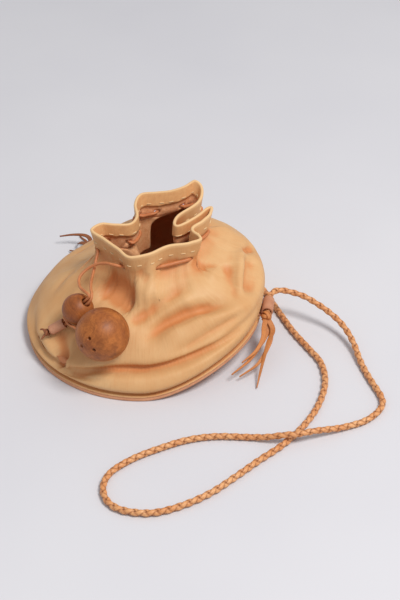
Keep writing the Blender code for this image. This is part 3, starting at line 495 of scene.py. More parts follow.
@dataclass(frozen=True)
class WallLeather(Finish):
    """Thin natural leather: tan in clouds, painted orange shade in its valleys, pink on its flesh side."""

    pale: tuple = tint(222, 178, 126)
    middle: tuple = tint(212, 160, 106)
    # Painted shade in the wall's creases; also the tone of the grain's fine streaks.
    valley: tuple = tint(208, 133, 78)
    flesh: tuple = tint(240, 184, 138)
    flesh_dark: tuple = tint(214, 142, 92)
    # Painted shade: the flesh side turns to this tone deeper inside the bag.
    inside: tuple = tint(206, 136, 92)
    hem: tuple = tint(238, 184, 126)
    fold_edge: tuple = tint(232, 190, 138)

    def make(self, graph: Graph) -> Material:
        """Mix the grain side, the flesh side and the hem by the wall's own attributes."""
        place = graph.place()
        grain = graph.attribute("grain", vector=True)
        cloud = graph.noise(place, 22, 4, 0.55)
        blotch = graph.noise(place, 75, 5, 0.6)
        body = graph.mixed(graph.ranged(cloud, 0.36, 0.66), self.pale, self.middle)
        body = graph.darkened(body, blotch, 0.45, 0.75, 0.35, self.middle)
        # Painted shade: the crease mask, with a little random variation, darkens the body to the valley tone.
        deep = graph.maths("ADD", graph.attribute("valley"), graph.ranged(blotch, 0.3, 0.7, -0.12, 0.12))
        body = graph.darkened(body, deep, 0.05, 0.8, 0.85, self.valley)
        streak = graph.noise(graph.stretched(grain, (1, 1, 0.05)), 1500, 3, 0.6)
        body = graph.darkened(body, streak, 0.42, 0.72, 0.22, self.valley)
        fibre = graph.noise(place, 420, 5, 0.7)
        flesh = graph.mixed(graph.ranged(fibre, 0.35, 0.7), self.flesh, self.flesh_dark)
        hem = graph.darkened(self.hem, fibre, 0.4, 0.75, 0.5, self.flesh_dark)
        # Painted shade: deeper inside the bag the flesh side turns to the inside tone.
        flesh = graph.mixed(graph.attribute("deep"), flesh, self.inside)
        colour = graph.mixed(graph.attribute("flesh"), body, flesh)
        colour = graph.mixed(graph.attribute("hem"), colour, hem)
        colour = graph.mixed(graph.attribute("lip"), colour, self.fold_edge)
        wrinkle = graph.noise(graph.stretched(grain, (1, 1, 0.12)), 520, 4, 0.6)
        pore = graph.noise(place, 2600, 2, 0.6)
        normal = graph.bump(wrinkle, 0.0005, 0.55)
        normal = graph.bump(streak, 0.00022, 0.5, normal)
        normal = graph.bump(pore, 0.00012, 0.4, normal)
        rough = graph.ranged(cloud, 0.3, 0.7, 0.5, 0.64)
        rough = graph.maths("MAXIMUM", rough, graph.ranged(graph.attribute("flesh"), 0, 1, 0.0, 0.85))
        return graph.finish(colour, rough, normal, Specular_IOR_Level=0.35)


@dataclass(frozen=True)
class PlainLeather(Finish):
    """Leather of one colour with clouds, fibres and darker edges."""

    colour: tuple = tint(200, 140, 95)
    dark: tuple = tint(150, 90, 55)
    roughness: float = 0.6
    fibre_size: float = 0.0012
    edge_share: float = 0.0

    def make(self, graph: Graph) -> Material:
        """Two tones mixed by noise, and by the edge attribute where the finish asks for it."""
        place = graph.place()
        cloud = graph.noise(place, 60, 4, 0.6)
        fibre = graph.noise(place, 1 / self.fibre_size, 4, 0.65)
        shade = graph.ranged(cloud, 0.3, 0.7, 0.0, 0.5)
        mottle = graph.maths("ADD", shade, graph.ranged(fibre, 0.4, 0.75, 0.0, 0.35))
        colour = graph.mixed(mottle, self.colour, self.dark)
        if self.edge_share:
            edge = graph.ranged(graph.attribute("edge"), 0.7, 1.0, 0.0, self.edge_share)
            colour = graph.mixed(edge, colour, self.dark)
        normal = graph.bump(fibre, 0.00025, 0.5)
        return graph.finish(colour, self.roughness, normal, Specular_IOR_Level=0.35)


@dataclass(frozen=True)
class ThongLeather(Finish):
    """Round thong: fine streaks along its length and a soft gloss."""

    colour: tuple = tint(214, 138, 88)
    dark: tuple = tint(156, 84, 46)

    def make(self, graph: Graph) -> Material:
        """Streaks run along the thong, because its coordinates round it change much faster."""
        around = graph.attribute("around", vector=True)
        along = graph.maths("MULTIPLY", graph.attribute("along"), 60.0)
        along = graph.add("ShaderNodeCombineXYZ", {"Z": along}).outputs[0]
        streak = graph.noise(graph.vectors("ADD", {0: around, 1: along}), 2.4, 4, 0.65)
        blotch = graph.noise(graph.place(), 160, 3, 0.5)
        colour = graph.darkened(self.colour, streak, 0.38, 0.7, 0.75, self.dark)
        colour = graph.darkened(colour, blotch, 0.5, 0.75, 0.3, self.dark)
        return graph.finish(colour, 0.52, graph.bump(streak, 0.0002, 0.5), Specular_IOR_Level=0.4)


@dataclass(frozen=True)
class BraidLeather(Finish):
    """Flat plaited laces with darker edges, and painted shade where they dive under one another."""

    colour: tuple = tint(222, 150, 92)
    pale: tuple = tint(236, 176, 120)
    dark: tuple = tint(146, 82, 44)

    def make(self, graph: Graph) -> Material:
        """Tone follows the "edge" attribute of the plait, and painted shade its "under" attribute."""
        place = graph.place()
        cloud = graph.noise(place, 90, 4, 0.6)
        fibre = graph.noise(place, 900, 4, 0.65)
        colour = graph.mixed(graph.ranged(cloud, 0.35, 0.65), self.colour, self.pale)
        colour = graph.darkened(colour, fibre, 0.42, 0.75, 0.4, self.dark)
        edge = graph.ranged(graph.attribute("edge"), 0.55, 1.0, 0.0, 0.8)
        # Painted shade where a lace dives under the others.
        under = graph.ranged(graph.attribute("under"), 0.35, 1.0, 0.0, 0.75)
        colour = graph.mixed(graph.maths("MAXIMUM", edge, under), colour, self.dark)
        return graph.finish(colour, 0.46, graph.bump(fibre, 0.00018, 0.5), Specular_IOR_Level=0.45)


@dataclass(frozen=True)
class TurnedWood(Finish):
    """Red-brown turned wood with wavy figure, dark flecks and a satin polish."""

    light: tuple = tint(188, 112, 52)
    middle: tuple = tint(148, 80, 34)
    dark: tuple = tint(92, 42, 14)
    axis: tuple = (0.3, 0.2, 1.0)

    def make(self, graph: Graph) -> Material:
        """Growth rings bent by noise, with flecks and cloudy figure over them."""
        place = graph.place()
        bend = graph.add("ShaderNodeTexNoise", {"Vector": place, "Scale": 55.0, "Detail": 3.0})
        pushed = graph.vectors("SCALE", {0: bend.outputs["Color"], "Scale": 0.016})
        moved = graph.vectors("ADD", {0: place, 1: pushed})
        turned = graph.add("ShaderNodeMapping", {"Vector": moved, "Rotation": self.axis}).outputs["Vector"]
        shape = {"Scale": 95.0, "Distortion": 5.0, "Detail": 4.0, "Detail Scale": 2.0}
        ring = graph.bands(turned, "X", shape)
        cloud = graph.noise(moved, 70, 6, 0.7)
        fleck = graph.noise(graph.stretched(turned, (1.0, 6.0, 6.0)), 380, 3, 0.6)
        colour = graph.mixed(graph.ranged(cloud, 0.34, 0.62), self.middle, self.light)
        colour = graph.darkened(colour, ring, 0.45, 1.0, 0.16, self.dark)
        colour = graph.darkened(colour, graph.noise(turned, 120, 6, 0.75), 0.47, 0.7, 0.6, self.dark)
        colour = graph.darkened(colour, fleck, 0.58, 0.72, 0.6, self.dark)
        rough = graph.ranged(cloud, 0.3, 0.7, 0.42, 0.54)
        return graph.finish(colour, rough, graph.bump(fleck, 0.00008, 0.35), Specular_IOR_Level=0.36)


@dataclass(frozen=True)
class Thread(Finish):
    """Waxed cream sewing thread."""

    colour: tuple = tint(232, 204, 158)

    def make(self, graph: Graph) -> Material:
        """A twist is drawn by a band across the thread, its darker part painted shade in the twist's grooves.
        """
        twist = graph.bands(graph.place(), "DIAGONAL", {"Scale": 900.0, "Distortion": 1.0})
        colour = graph.darkened(self.colour, twist, 0.2, 0.8, 0.25, tint(204, 166, 116))
        return graph.finish(colour, 0.6, graph.bump(twist, 0.0001, 0.5))


@dataclass(frozen=True)
class Floor(Finish):
    """Pale matt floor."""

    colour: tuple = tint(219, 218, 222)

    def make(self, graph: Graph) -> Material:
        """Slightly uneven paper-like floor."""
        cloud = graph.noise(graph.place(), 3.0, 3, 0.5)
        colour = graph.mixed(graph.ranged(cloud, 0.35, 0.65), self.colour, tint(214, 213, 218))
        return graph.finish(colour, 0.9, Specular_IOR_Level=0.1)


WALL_LEATHER = WallLeather("wall_leather")
SOLE_LEATHER = PlainLeather("sole_leather", tint(226, 166, 126), tint(190, 128, 94), 0.7, 0.0016)
KEEPER_LEATHER = PlainLeather("keeper_leather", tint(206, 150, 118), tint(170, 108, 76), 0.68, 0.0009, 0.4)
TAIL_LEATHER = PlainLeather("tail_leather", tint(222, 148, 86), tint(160, 92, 50), 0.58, 0.0014, 0.5)
# A darker copy of the tail leather: painted shade for the pieces that lie in the bag's shade.
TAIL_LEATHER_SHADED = PlainLeather("tail_leather_shaded", tint(160, 98, 62), tint(112, 62, 36), 0.62, 0.0014, 0.5)
THONG_LEATHER = ThongLeather("thong_leather")
BRAID_LEATHER = BraidLeather("braid_leather")
BALL_WOOD = TurnedWood("ball_wood")
BEAD_WOOD = TurnedWood("bead_wood", tint(172, 100, 48), tint(144, 78, 34), tint(90, 42, 16), (1.1, 0.4, 0.3))
HEM_THREAD = Thread("hem_thread")
PALE_FLOOR = Floor("pale_floor")


@dataclass
class Base:
    """The round sole, flat on the left and curled up at its right edge."""

    radius: float = 0.100
    thickness: float = 0.0032
    lift: float = 0.020
    curl_turn: float = -6.3
    curl_start: float = 0.010
    edge_round: float = 0.0009
    rings: int = 46
    columns: int = 288

    def rise(self, x: Array, y: Array) -> Array:
        """Height of the curl: lift u^2 (3 - 2u), where u grows from the curl's start to the edge."""
        turn = math.radians(self.curl_turn)
        reach = x * math.cos(turn) + y * math.sin(turn)
        return self.lift * eased_share((reach - self.curl_start) / (self.radius - self.curl_start))

    def surface(self) -> Surface:
        """A lathe profile of radius and height, turned about +Z and then curled."""
        inner = np.linspace(0.001, self.radius - self.edge_round, self.rings)
        angle = np.linspace(math.pi / 2, -math.pi / 2, 9)[1:-1]
        half = self.thickness / 2
        edge_radius = self.radius - self.edge_round + self.edge_round * np.cos(angle)
        edge_height = half + (half - self.edge_round) * np.sign(np.sin(angle))
        edge_height = edge_height + self.edge_round * np.sin(angle)
        radius = np.concatenate([inner, edge_radius, inner[::-1]])
        height = np.concatenate([np.full(self.rings, self.thickness), edge_height, np.zeros(self.rings)])
        turn = np.arange(self.columns) / self.columns * 2 * math.pi
        x = radius[:, None] * np.cos(turn)
        y = radius[:, None] * np.sin(turn)
        grid = np.stack([x, y, height[:, None] + self.rise(x, y)], axis=2)
        return Surface.grid(grid, False, True, caps=True).flipped()

    def build(self) -> None:
        """The sole in its leather."""
        placed(self.surface(), "leather_sole", SOLE_LEATHER, Slot.SOLE, Body.BAG, "sole")


def periodic_curve(turns: Array, values: Array, where: Array) -> Array:
    """Closed cubic curve through values at turns, each slope the weighted mean of its two chords."""
    turns = np.asarray(turns, float)
    values = np.asarray(values, float)
    knots = np.r_[turns[-1] - 360, turns, turns[0] + 360, turns[1] + 360]
    rows = np.vstack([values[-1], values, values[0], values[1]])
    span = np.diff(knots)
    slope = np.diff(rows, axis=0) / span[:, None]
    tangent = (slope[:-1] * span[1:, None] + slope[1:] * span[:-1, None]) / (span[1:] + span[:-1])[:, None]
    place = (where - turns[0]) % 360 + turns[0]
    index = np.clip(np.searchsorted(knots[1:], place, side="right") - 1, 0, len(turns) - 1)
    width = span[index + 1][:, None]
    share = (place - knots[index + 1])[:, None] / width
    leave, arrive = tangent[index] * width, tangent[index + 1] * width
    return hermite(rows[index + 1], leave, arrive, rows[index + 2], share)


@dataclass
class Fold:
    """A ridge or valley along a path on the wall.

    Its height at a point is height fade(s) exp(-(d / width)^sharpness), where d is the distance to
    the path and s the place along it. One course counts as course_turns degrees in s.
    """

    path: tuple
    height: float
    width: float
    sharpness: float
    fades: tuple[float, float]
    places: int = 60
    course_turns: float = 20.0

    def crest(self, grid: Array, course: Array) -> tuple[Array, Array]:
        """Points along the path on a grid, and each one's share of the full height."""
        path = np.array(self.path, float)
        along = lengths_along(path * (1, self.course_turns))
        share = np.linspace(0, 1, self.places)
        turn, row = (np.interp(share, along / along[-1], path[:, axis]) for axis in range(2))
        fade = eased_share(np.minimum(share / self.fades[0], (1 - share) / self.fades[1]))
        return on_grid(grid, course, turn, row), fade


@dataclass
class WallShape:
    """The bag's outer face as a function of the turn and the course."""

    base: Base
    thickness: float = 0.0013
    flange: float = 0.0035
    clearance: float = 0.0003
    tall: float = 0.100
    centre: tuple[float, float] = (0.008, 0.012)
    lace_depth: float = 0.0170
    hem_depth: float = 0.0110
    draw: float = 0.93
    pucker: float = 0.00055
    low_pucker: float = 0.00045
    pleats: dict = field(default_factory=lambda: {6: 0.15, 7: 0.45, 8: 0.45})
    plain_columns: int = 64
    plain_steps: tuple = (1, 2, 2, 2, 2, 2, 2, 2, 2, 1, 1)
    course_turns: tuple = (0, 30, 60, 90, 120, 150, 180, 205, 236, 255, 275, 300, 330)
    courses: tuple = (
        (1.0, (100.5, 101, 101, 101, 101, 101, 101, 100.5, 100.5, 101, 101.5, 101, 100.5),
         (9, 9.5, 12, 9, 8, 7.5, 6.5, 5.5, 5.5, 6.5, 7, 7, 6.5)),
        (1.0, (102, 102, 101, 100, 99.5, 99, 97.5, 97, 97, 97, 97, 99, 101.5),
         (18, 19.5, 23, 20, 15, 13, 11, 9, 9, 13.5, 15, 13, 15.5)),
        (1.0, (102.5, 101, 99.5, 98.5, 96, 94.5, 94, 94, 94, 84, 83, 89, 99),
         (25, 29.5, 35, 31, 23, 20, 16, 11.5, 11, 14.5, 16.5, 15, 19.5)),
        (1.0, (101, 98.5, 96, 94, 90, 88.5, 90, 94.5, 96, 84.5, 84.5, 89, 98),
         (31, 36.5, 45, 41, 31, 28, 22, 14.5, 14, 18, 20.5, 20.5, 24.5)),
        (0.7, (94.5, 93, 88, 86, 80, 78, 79.5, 84, 84, 78, 76.5, 81, 90),
         (43, 48, 54.5, 50, 39, 37, 32, 25, 24, 28, 32, 32, 37.5)),
        (0.35, (82, 85, 77, 74, 67, 64, 64, 66, 66, 64, 62, 65, 76),
         (56, 60, 63.5, 58, 48, 47, 44, 39, 37, 40, 42, 44, 50.5)),
        (0.1, (68, 77, 68, 62, 53, 48, 48, 47, 46, 46, 46, 51, 61),
         (66, 71.5, 71.5, 66, 59, 57, 56, 53, 51, 52.5, 54, 56, 61)),
    )
    mouth: tuple = (
        (10, 57.5, 21.5, 100), (20, 58, 30, 101), (27, 52.5, 28.5, 101), (32, 45, 19.5, 100),
        (40, 29, 7, 98.5), (47, 30.5, 18, 99.5), (54, 47, 36, 101), (63, 50, 55, 105),
        (70, 43, 60, 108), (77, 34.5, 55.5, 105.5), (89, 22, 52.5, 102.5), (99, 11.5, 52, 101.5),
        (114, -3.5, 50, 100.5), (128, -8, 36, 99.5), (141, -6, 20, 98.5), (152, -10, 10, 98.5),
        (165, -22, 7.5, 99.5), (178, -34, 7, 100.5), (190, -42, -1, 100), (211, -31, -14, 98.5),
        (233, -20, -24, 96.5), (256, -8.5, -34, 94.5), (272, 5, -32, 95.5), (298, 23, -21, 96.5),
        (320, 41, -17, 97), (331, 49.5, -11, 97.5), (336, 47.5, -6, 98), (341, 43, -1, 98.5),
        (355, 51, 10.5, 99.5),
    )
    folds: tuple = (
        Fold(((232, 5.2), (225, 5.6), (217, 6.0), (210, 6.3)), -0.0038, 0.008, 1.7, (0.2, 0.35)),
        Fold(((233, 4.8), (230, 5.7), (224, 6.3), (221, 6.9)), 0.0024, 0.005, 1.4, (0.1, 0.4)),
        Fold(((192, 4.6), (205, 4.8), (218, 5.0), (231, 4.9)), 0.0018, 0.006, 1.5, (0.3, 0.15)),
        Fold(((233, 3.2), (243, 3.0), (256, 2.8)), -0.0018, 0.0035, 1.4, (0.1, 0.5)),
        Fold(((207, 8.3), (225, 8.3), (245, 8.3), (268, 8.2)), -0.0065, 0.013, 2.0, (0.25, 0.2)),
        Fold(((266, 9.5), (276, 8.8), (287, 8.1), (296, 7.6)), 0.0035, 0.007, 1.4, (0.2, 0.35)),
        Fold(((258, 7.3), (272, 7.5), (285, 7.7), (300, 7.8)), -0.0020, 0.006, 1.5, (0.2, 0.4)),
        Fold(((268, 6.2), (287, 7.0), (311, 7.1), (335, 6.3)), -0.0045, 0.008, 1.6, (0.2, 0.3)),
        Fold(((280, 5.6), (290, 5.8), (311, 6.0), (332, 5.6), (349, 5.1)), 0.0024, 0.007, 1.7, (0.3, 0.3)),
        Fold(((369, 7.3), (355, 6.9), (345, 6.5), (335, 6.1)), 0.0036, 0.006, 1.4, (0.2, 0.25)),
        Fold(((366, 6.5), (358, 6.2), (348, 5.95), (338, 5.7)), -0.0045, 0.007, 1.6, (0.2, 0.3)),
        Fold(((320, 8.9), (331, 8.6), (346, 8.2)), -0.0036, 0.006, 1.6, (0.3, 0.4)),
        Fold(((4, 7.1), (12, 6.3), (20, 5.6)), -0.0030, 0.0045, 1.4, (0.3, 0.3)),
    )

    creases: tuple = (
        Fold(((212, 8.2), (228, 8.25), (247, 8.2), (263, 8.05)), -0.005, 0.012, 2.2, (0.25, 0.15)),
        Fold(((256, 8.75), (264, 8.6), (272, 8.35), (279, 8.0)), 0.0022, 0.0075, 1.8, (0.25, 0.2)),
        Fold(
            ((255, 7.5), (266, 7.5), (280, 7.68), (295, 7.95), (308, 8.15), (322, 8.35)),
            -0.0046, 0.006, 1.6, (0.3, 0.25),
        ),
        Fold(((272, 7.15), (290, 7.45), (307, 7.65), (322, 7.55)), 0.003, 0.0065, 1.6, (0.35, 0.3)),
        Fold(
            ((271, 6.75), (289, 7.0), (305, 7.07), (318, 6.94), (328, 6.5)),
            -0.0036, 0.0046, 1.5, (0.3, 0.3),
        ),
        Fold(
            ((276, 6.12), (293, 6.38), (310, 6.38), (322, 6.0), (336, 5.57)),
            0.003, 0.0052, 1.6, (0.3, 0.3),
        ),
        Fold(
            ((282, 5.2), (296, 5.36), (308, 5.5), (320, 5.5), (334, 5.2)),
            -0.004, 0.0052, 1.5, (0.35, 0.3),
        ),
        Fold(((262, 4.9), (285, 5.0), (308, 4.7), (328, 4.1)), 0.0016, 0.0048, 1.6, (0.3, 0.3)),
        Fold(
            (
                (233, 3.1), (247, 3.9), (263, 4.15), (281, 4.4), (296, 4.2), (311, 3.7),
                (323, 3.4), (336, 2.8),
            ),
            -0.0024, 0.0032, 1.4, (0.1, 0.25),
        ),
        Fold(((224, 6.1), (227, 5.5), (229, 4.6), (230, 3.6)), -0.0034, 0.006, 1.7, (0.3, 0.2)),
        Fold(
            ((196, 3.0), (206, 4.1), (214, 4.5), (222, 4.2), (231, 3.3)),
            -0.0018, 0.0034, 1.4, (0.3, 0.2),
        ),
        Fold(((226, 1.95), (238, 2.7), (254, 2.85)), -0.0016, 0.0026, 1.4, (0.3, 0.4)),
        Fold(((336, 8.45), (344, 8.25), (351, 7.95)), -0.0026, 0.0036, 1.5, (0.35, 0.4)),
        Fold(((331, 8.15), (341, 7.95), (350, 7.65)), 0.002, 0.0038, 1.5, (0.35, 0.4)),
        Fold(((353, 7.8), (346, 7.2), (337, 6.7), (328, 6.4)), -0.0026, 0.0055, 1.6, (0.3, 0.3)),
        Fold(((366, 7.25), (352, 6.94), (342, 6.56), (333, 6.25)), 0.0026, 0.0058, 1.6, (0.3, 0.35)),
        Fold(((364, 6.8), (354, 6.5), (344, 6.2), (336, 6.0)), -0.0034, 0.0042, 1.5, (0.25, 0.25)),
        Fold(((368, 7.07), (373, 6.4), (372, 5.7)), -0.0022, 0.0028, 1.4, (0.2, 0.3)),
        Fold(((96, 8.3), (108, 7.6), (116, 6.8)), -0.0022, 0.006, 1.6, (0.3, 0.4)),
        Fold(((30, 7.6), (40, 6.9), (56, 6.3)), -0.0022, 0.0065, 1.6, (0.3, 0.4)),
        Fold(((60, 5.4), (80, 5.1), (104, 5.3)), -0.002, 0.006, 1.6, (0.3, 0.4)),
        Fold(((168, 7.6), (180, 6.8), (190, 6.1)), -0.0022, 0.006, 1.6, (0.3, 0.4)),
        Fold(((120, 6.9), (134, 6.2), (152, 5.7)), -0.002, 0.006, 1.6, (0.3, 0.4)),
    )

    def flange_top(self) -> float:
        """Height of the flange's upper face where the base is flat."""
        return self.base.thickness + self.clearance + self.thickness

    def mouth_ring(self, turn: Array) -> Array:
        """The mouth's edge at each turn."""
        table = np.array(self.mouth, float)
        return periodic_curve(table[:, 0], table[:, 1:] / 100 * (0.1, 0.1, self.tall), turn)

    def lace_ring(self, edge: Array) -> Array:
        """The edge, drawn in about the mouth's centre and lowered to the lacing."""
        centre = np.array([*self.centre, 0.0])
        ring = centre + (edge - centre) * (self.draw, self.draw, 1.0)
        ring[:, 2] = edge[:, 2] - self.lace_depth
        return ring

    def smoothed(self, turn: Array) -> Array:
        """The lacing line's mean and first two harmonics, fitted by least squares."""
        def waves(angle: Array) -> Array:
            angle = np.radians(angle)[:, None]
            waves_of = [np.cos(angle), np.sin(angle), np.cos(2 * angle), np.sin(2 * angle)]
            return np.hstack([np.ones_like(angle), *waves_of])

        all_round = np.arange(0, 360, 2.5)
        weights = np.linalg.lstsq(waves(all_round), self.lace_ring(self.mouth_ring(all_round)), rcond=None)[0]
        return waves(turn) @ weights

    def rings(self, turn: Array) -> Array:
        """All twelve courses at each turn.

        Args:
            turn: The turns, in degrees.

        Returns:
            Array of courses, turns and three values.
        """
        cosine, sine = np.cos(np.radians(turn)), np.sin(np.radians(turn))
        top = self.flange_top()
        found = []
        for radius in (self.base.radius, self.base.radius - self.flange):
            x, y = radius * cosine, radius * sine
            found.append(np.stack([x, y, top + self.base.rise(x, y)], axis=1))
        edge = self.mouth_ring(turn)
        lace = self.lace_ring(edge)
        pleats = lace - self.smoothed(turn)
        rim = self.base.rise(self.base.radius * cosine, self.base.radius * sine)
        for number, (share, radii, heights) in enumerate(self.courses, 2):
            table = periodic_curve(self.course_turns, np.stack([radii, heights], axis=1) / 100, turn)
            radius = table[:, 0] * self.base.radius
            height = top + table[:, 1] * self.tall + rim * share
            ring = np.stack([radius * cosine, radius * sine, height], axis=1)
            found.append(ring + self.pleats.get(number, 0) * pleats)
        found += [lace, edge + (lace - edge) * self.hem_depth / self.lace_depth, edge]
        return np.stack(found)

    def lofted(self, rings: Array, steps: tuple) -> tuple[Array, Array]:
        """Rows of the smooth loft through the rings, as course numbers and points.

        Between two rings the row is the cubic whose end slopes are the means of the chords on both
        sides, weighted by length.
        """
        span = np.linalg.norm(np.diff(rings, axis=0), axis=2, keepdims=True)
        slope = np.diff(rings, axis=0) / span
        tangent = np.empty_like(rings)
        tangent[1:-1] = (slope[:-1] * span[1:] + slope[1:] * span[:-1]) / (span[1:] + span[:-1])
        tangent[0], tangent[1], tangent[-1] = slope[0], slope[0] / 2, slope[-1]
        between = [number + np.arange(count) / count for number, count in enumerate(steps)]
        course = np.concatenate([*between, [len(steps)]])
        index = np.minimum(course.astype(int), len(steps) - 1)
        share = (course - index)[:, None, None]
        leave, arrive = tangent[index] * span[index], tangent[index + 1] * span[index]
        return course, hermite(rings[index], leave, arrive, rings[index + 1], share)

    def folded(self, grid: Array, course: Array, folds: tuple) -> Array:
        """The grid with every fold raised or pressed in along its own outward direction."""
        rise = np.zeros(grid.shape[:2])
        for fold in folds:
            crest, fade = fold.crest(grid, course)
            gap = np.full(grid.shape[:2], np.inf)
            nearest = np.zeros(grid.shape[:2], int)
            for number, point in enumerate(crest):
                reach = np.linalg.norm(grid - point, axis=2)
                nearest = np.where(reach < gap, number, nearest)
                gap = np.minimum(gap, reach)
            rise += fold.height * fade[nearest] * np.exp(-((gap / fold.width) ** fold.sharpness))
        return grid + outward(grid) * rise[:, :, None]

    def puckers(self, grid: Array, course: Array, turn: Array) -> Array:
        """Fine creases that run down from the lacing: a sum of sines of the turn, faded by course."""
        angle = np.radians(turn)[None, :]
        row = course[:, None]
        rng = np.random.default_rng(11)
        wave = np.zeros((len(course), len(turn)))
        for count in (13, 17, 23, 31, 43):
            phase, lean = rng.uniform(0, 2 * math.pi), rng.uniform(-0.35, 0.35)
            wave += np.sin(count * (angle + 0.05 * lean * row) + phase) / count**0.5
        window = eased_share((row - 6.2) / 2.2) * eased_share((10.8 - row) / 1.6)
        body = 0.35 * eased_share((row - 2.0) / 2.0) * eased_share((8.5 - row) / 2.0)
        return grid + outward(grid) * (wave * (window * self.pucker + body * self.low_pucker))[:, :, None]

    def face(self, columns: int, steps: tuple, fine: bool = False) -> tuple[Array, Array]:
        """The outer face as course numbers and a grid of points, with its creases where fine."""
        turn = np.arange(columns) / columns * 360
        course, grid = self.lofted(self.rings(turn), steps)
        grid = self.folded(grid, course, self.folds)
        if fine:
            grid = self.puckers(self.folded(grid, course, self.creases), course, turn)
        return course, grid

    def plain_face(self) -> tuple[Array, Array]:
        """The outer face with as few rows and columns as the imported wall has."""
        return self.face(self.plain_columns, self.plain_steps)


def grain_place(turn: Array, height: Array) -> Array:
    """Place in the leather's own grain: on a cylinder of GRAIN_RADIUS, at a height in metres."""
    turn, height = np.broadcast_arrays(np.radians(turn), height)
    return np.stack([GRAIN_RADIUS * np.cos(turn), GRAIN_RADIUS * np.sin(turn), height], axis=2)


def outward(grid: Array) -> Array:
    """Outward direction at each point of a grid of rows round the bag."""
    around = np.roll(grid, -1, axis=1) - np.roll(grid, 1, axis=1)
    return unit(np.cross(around, np.gradient(grid, axis=0)))


def on_grid(grid: Array, courses: Array, turn: Array, course: Array) -> Array:
    """Values of a grid at turns and courses, linear between its corners."""
    columns = grid.shape[1]
    column = np.asarray(turn, float) % 360 / 360 * columns
    left = np.floor(column).astype(int)
    across = (column - left)[:, None]
    row = np.interp(course, courses, np.arange(len(courses)))
    below = np.clip(np.floor(row).astype(int), 0, len(courses) - 2)
    up = (row - below)[:, None]
    left, right = left % columns, (left + 1) % columns
    low = grid[below, left] * (1 - across) + grid[below, right] * across
    high = grid[below + 1, left] * (1 - across) + grid[below + 1, right] * across
    return low * (1 - up) + high * up


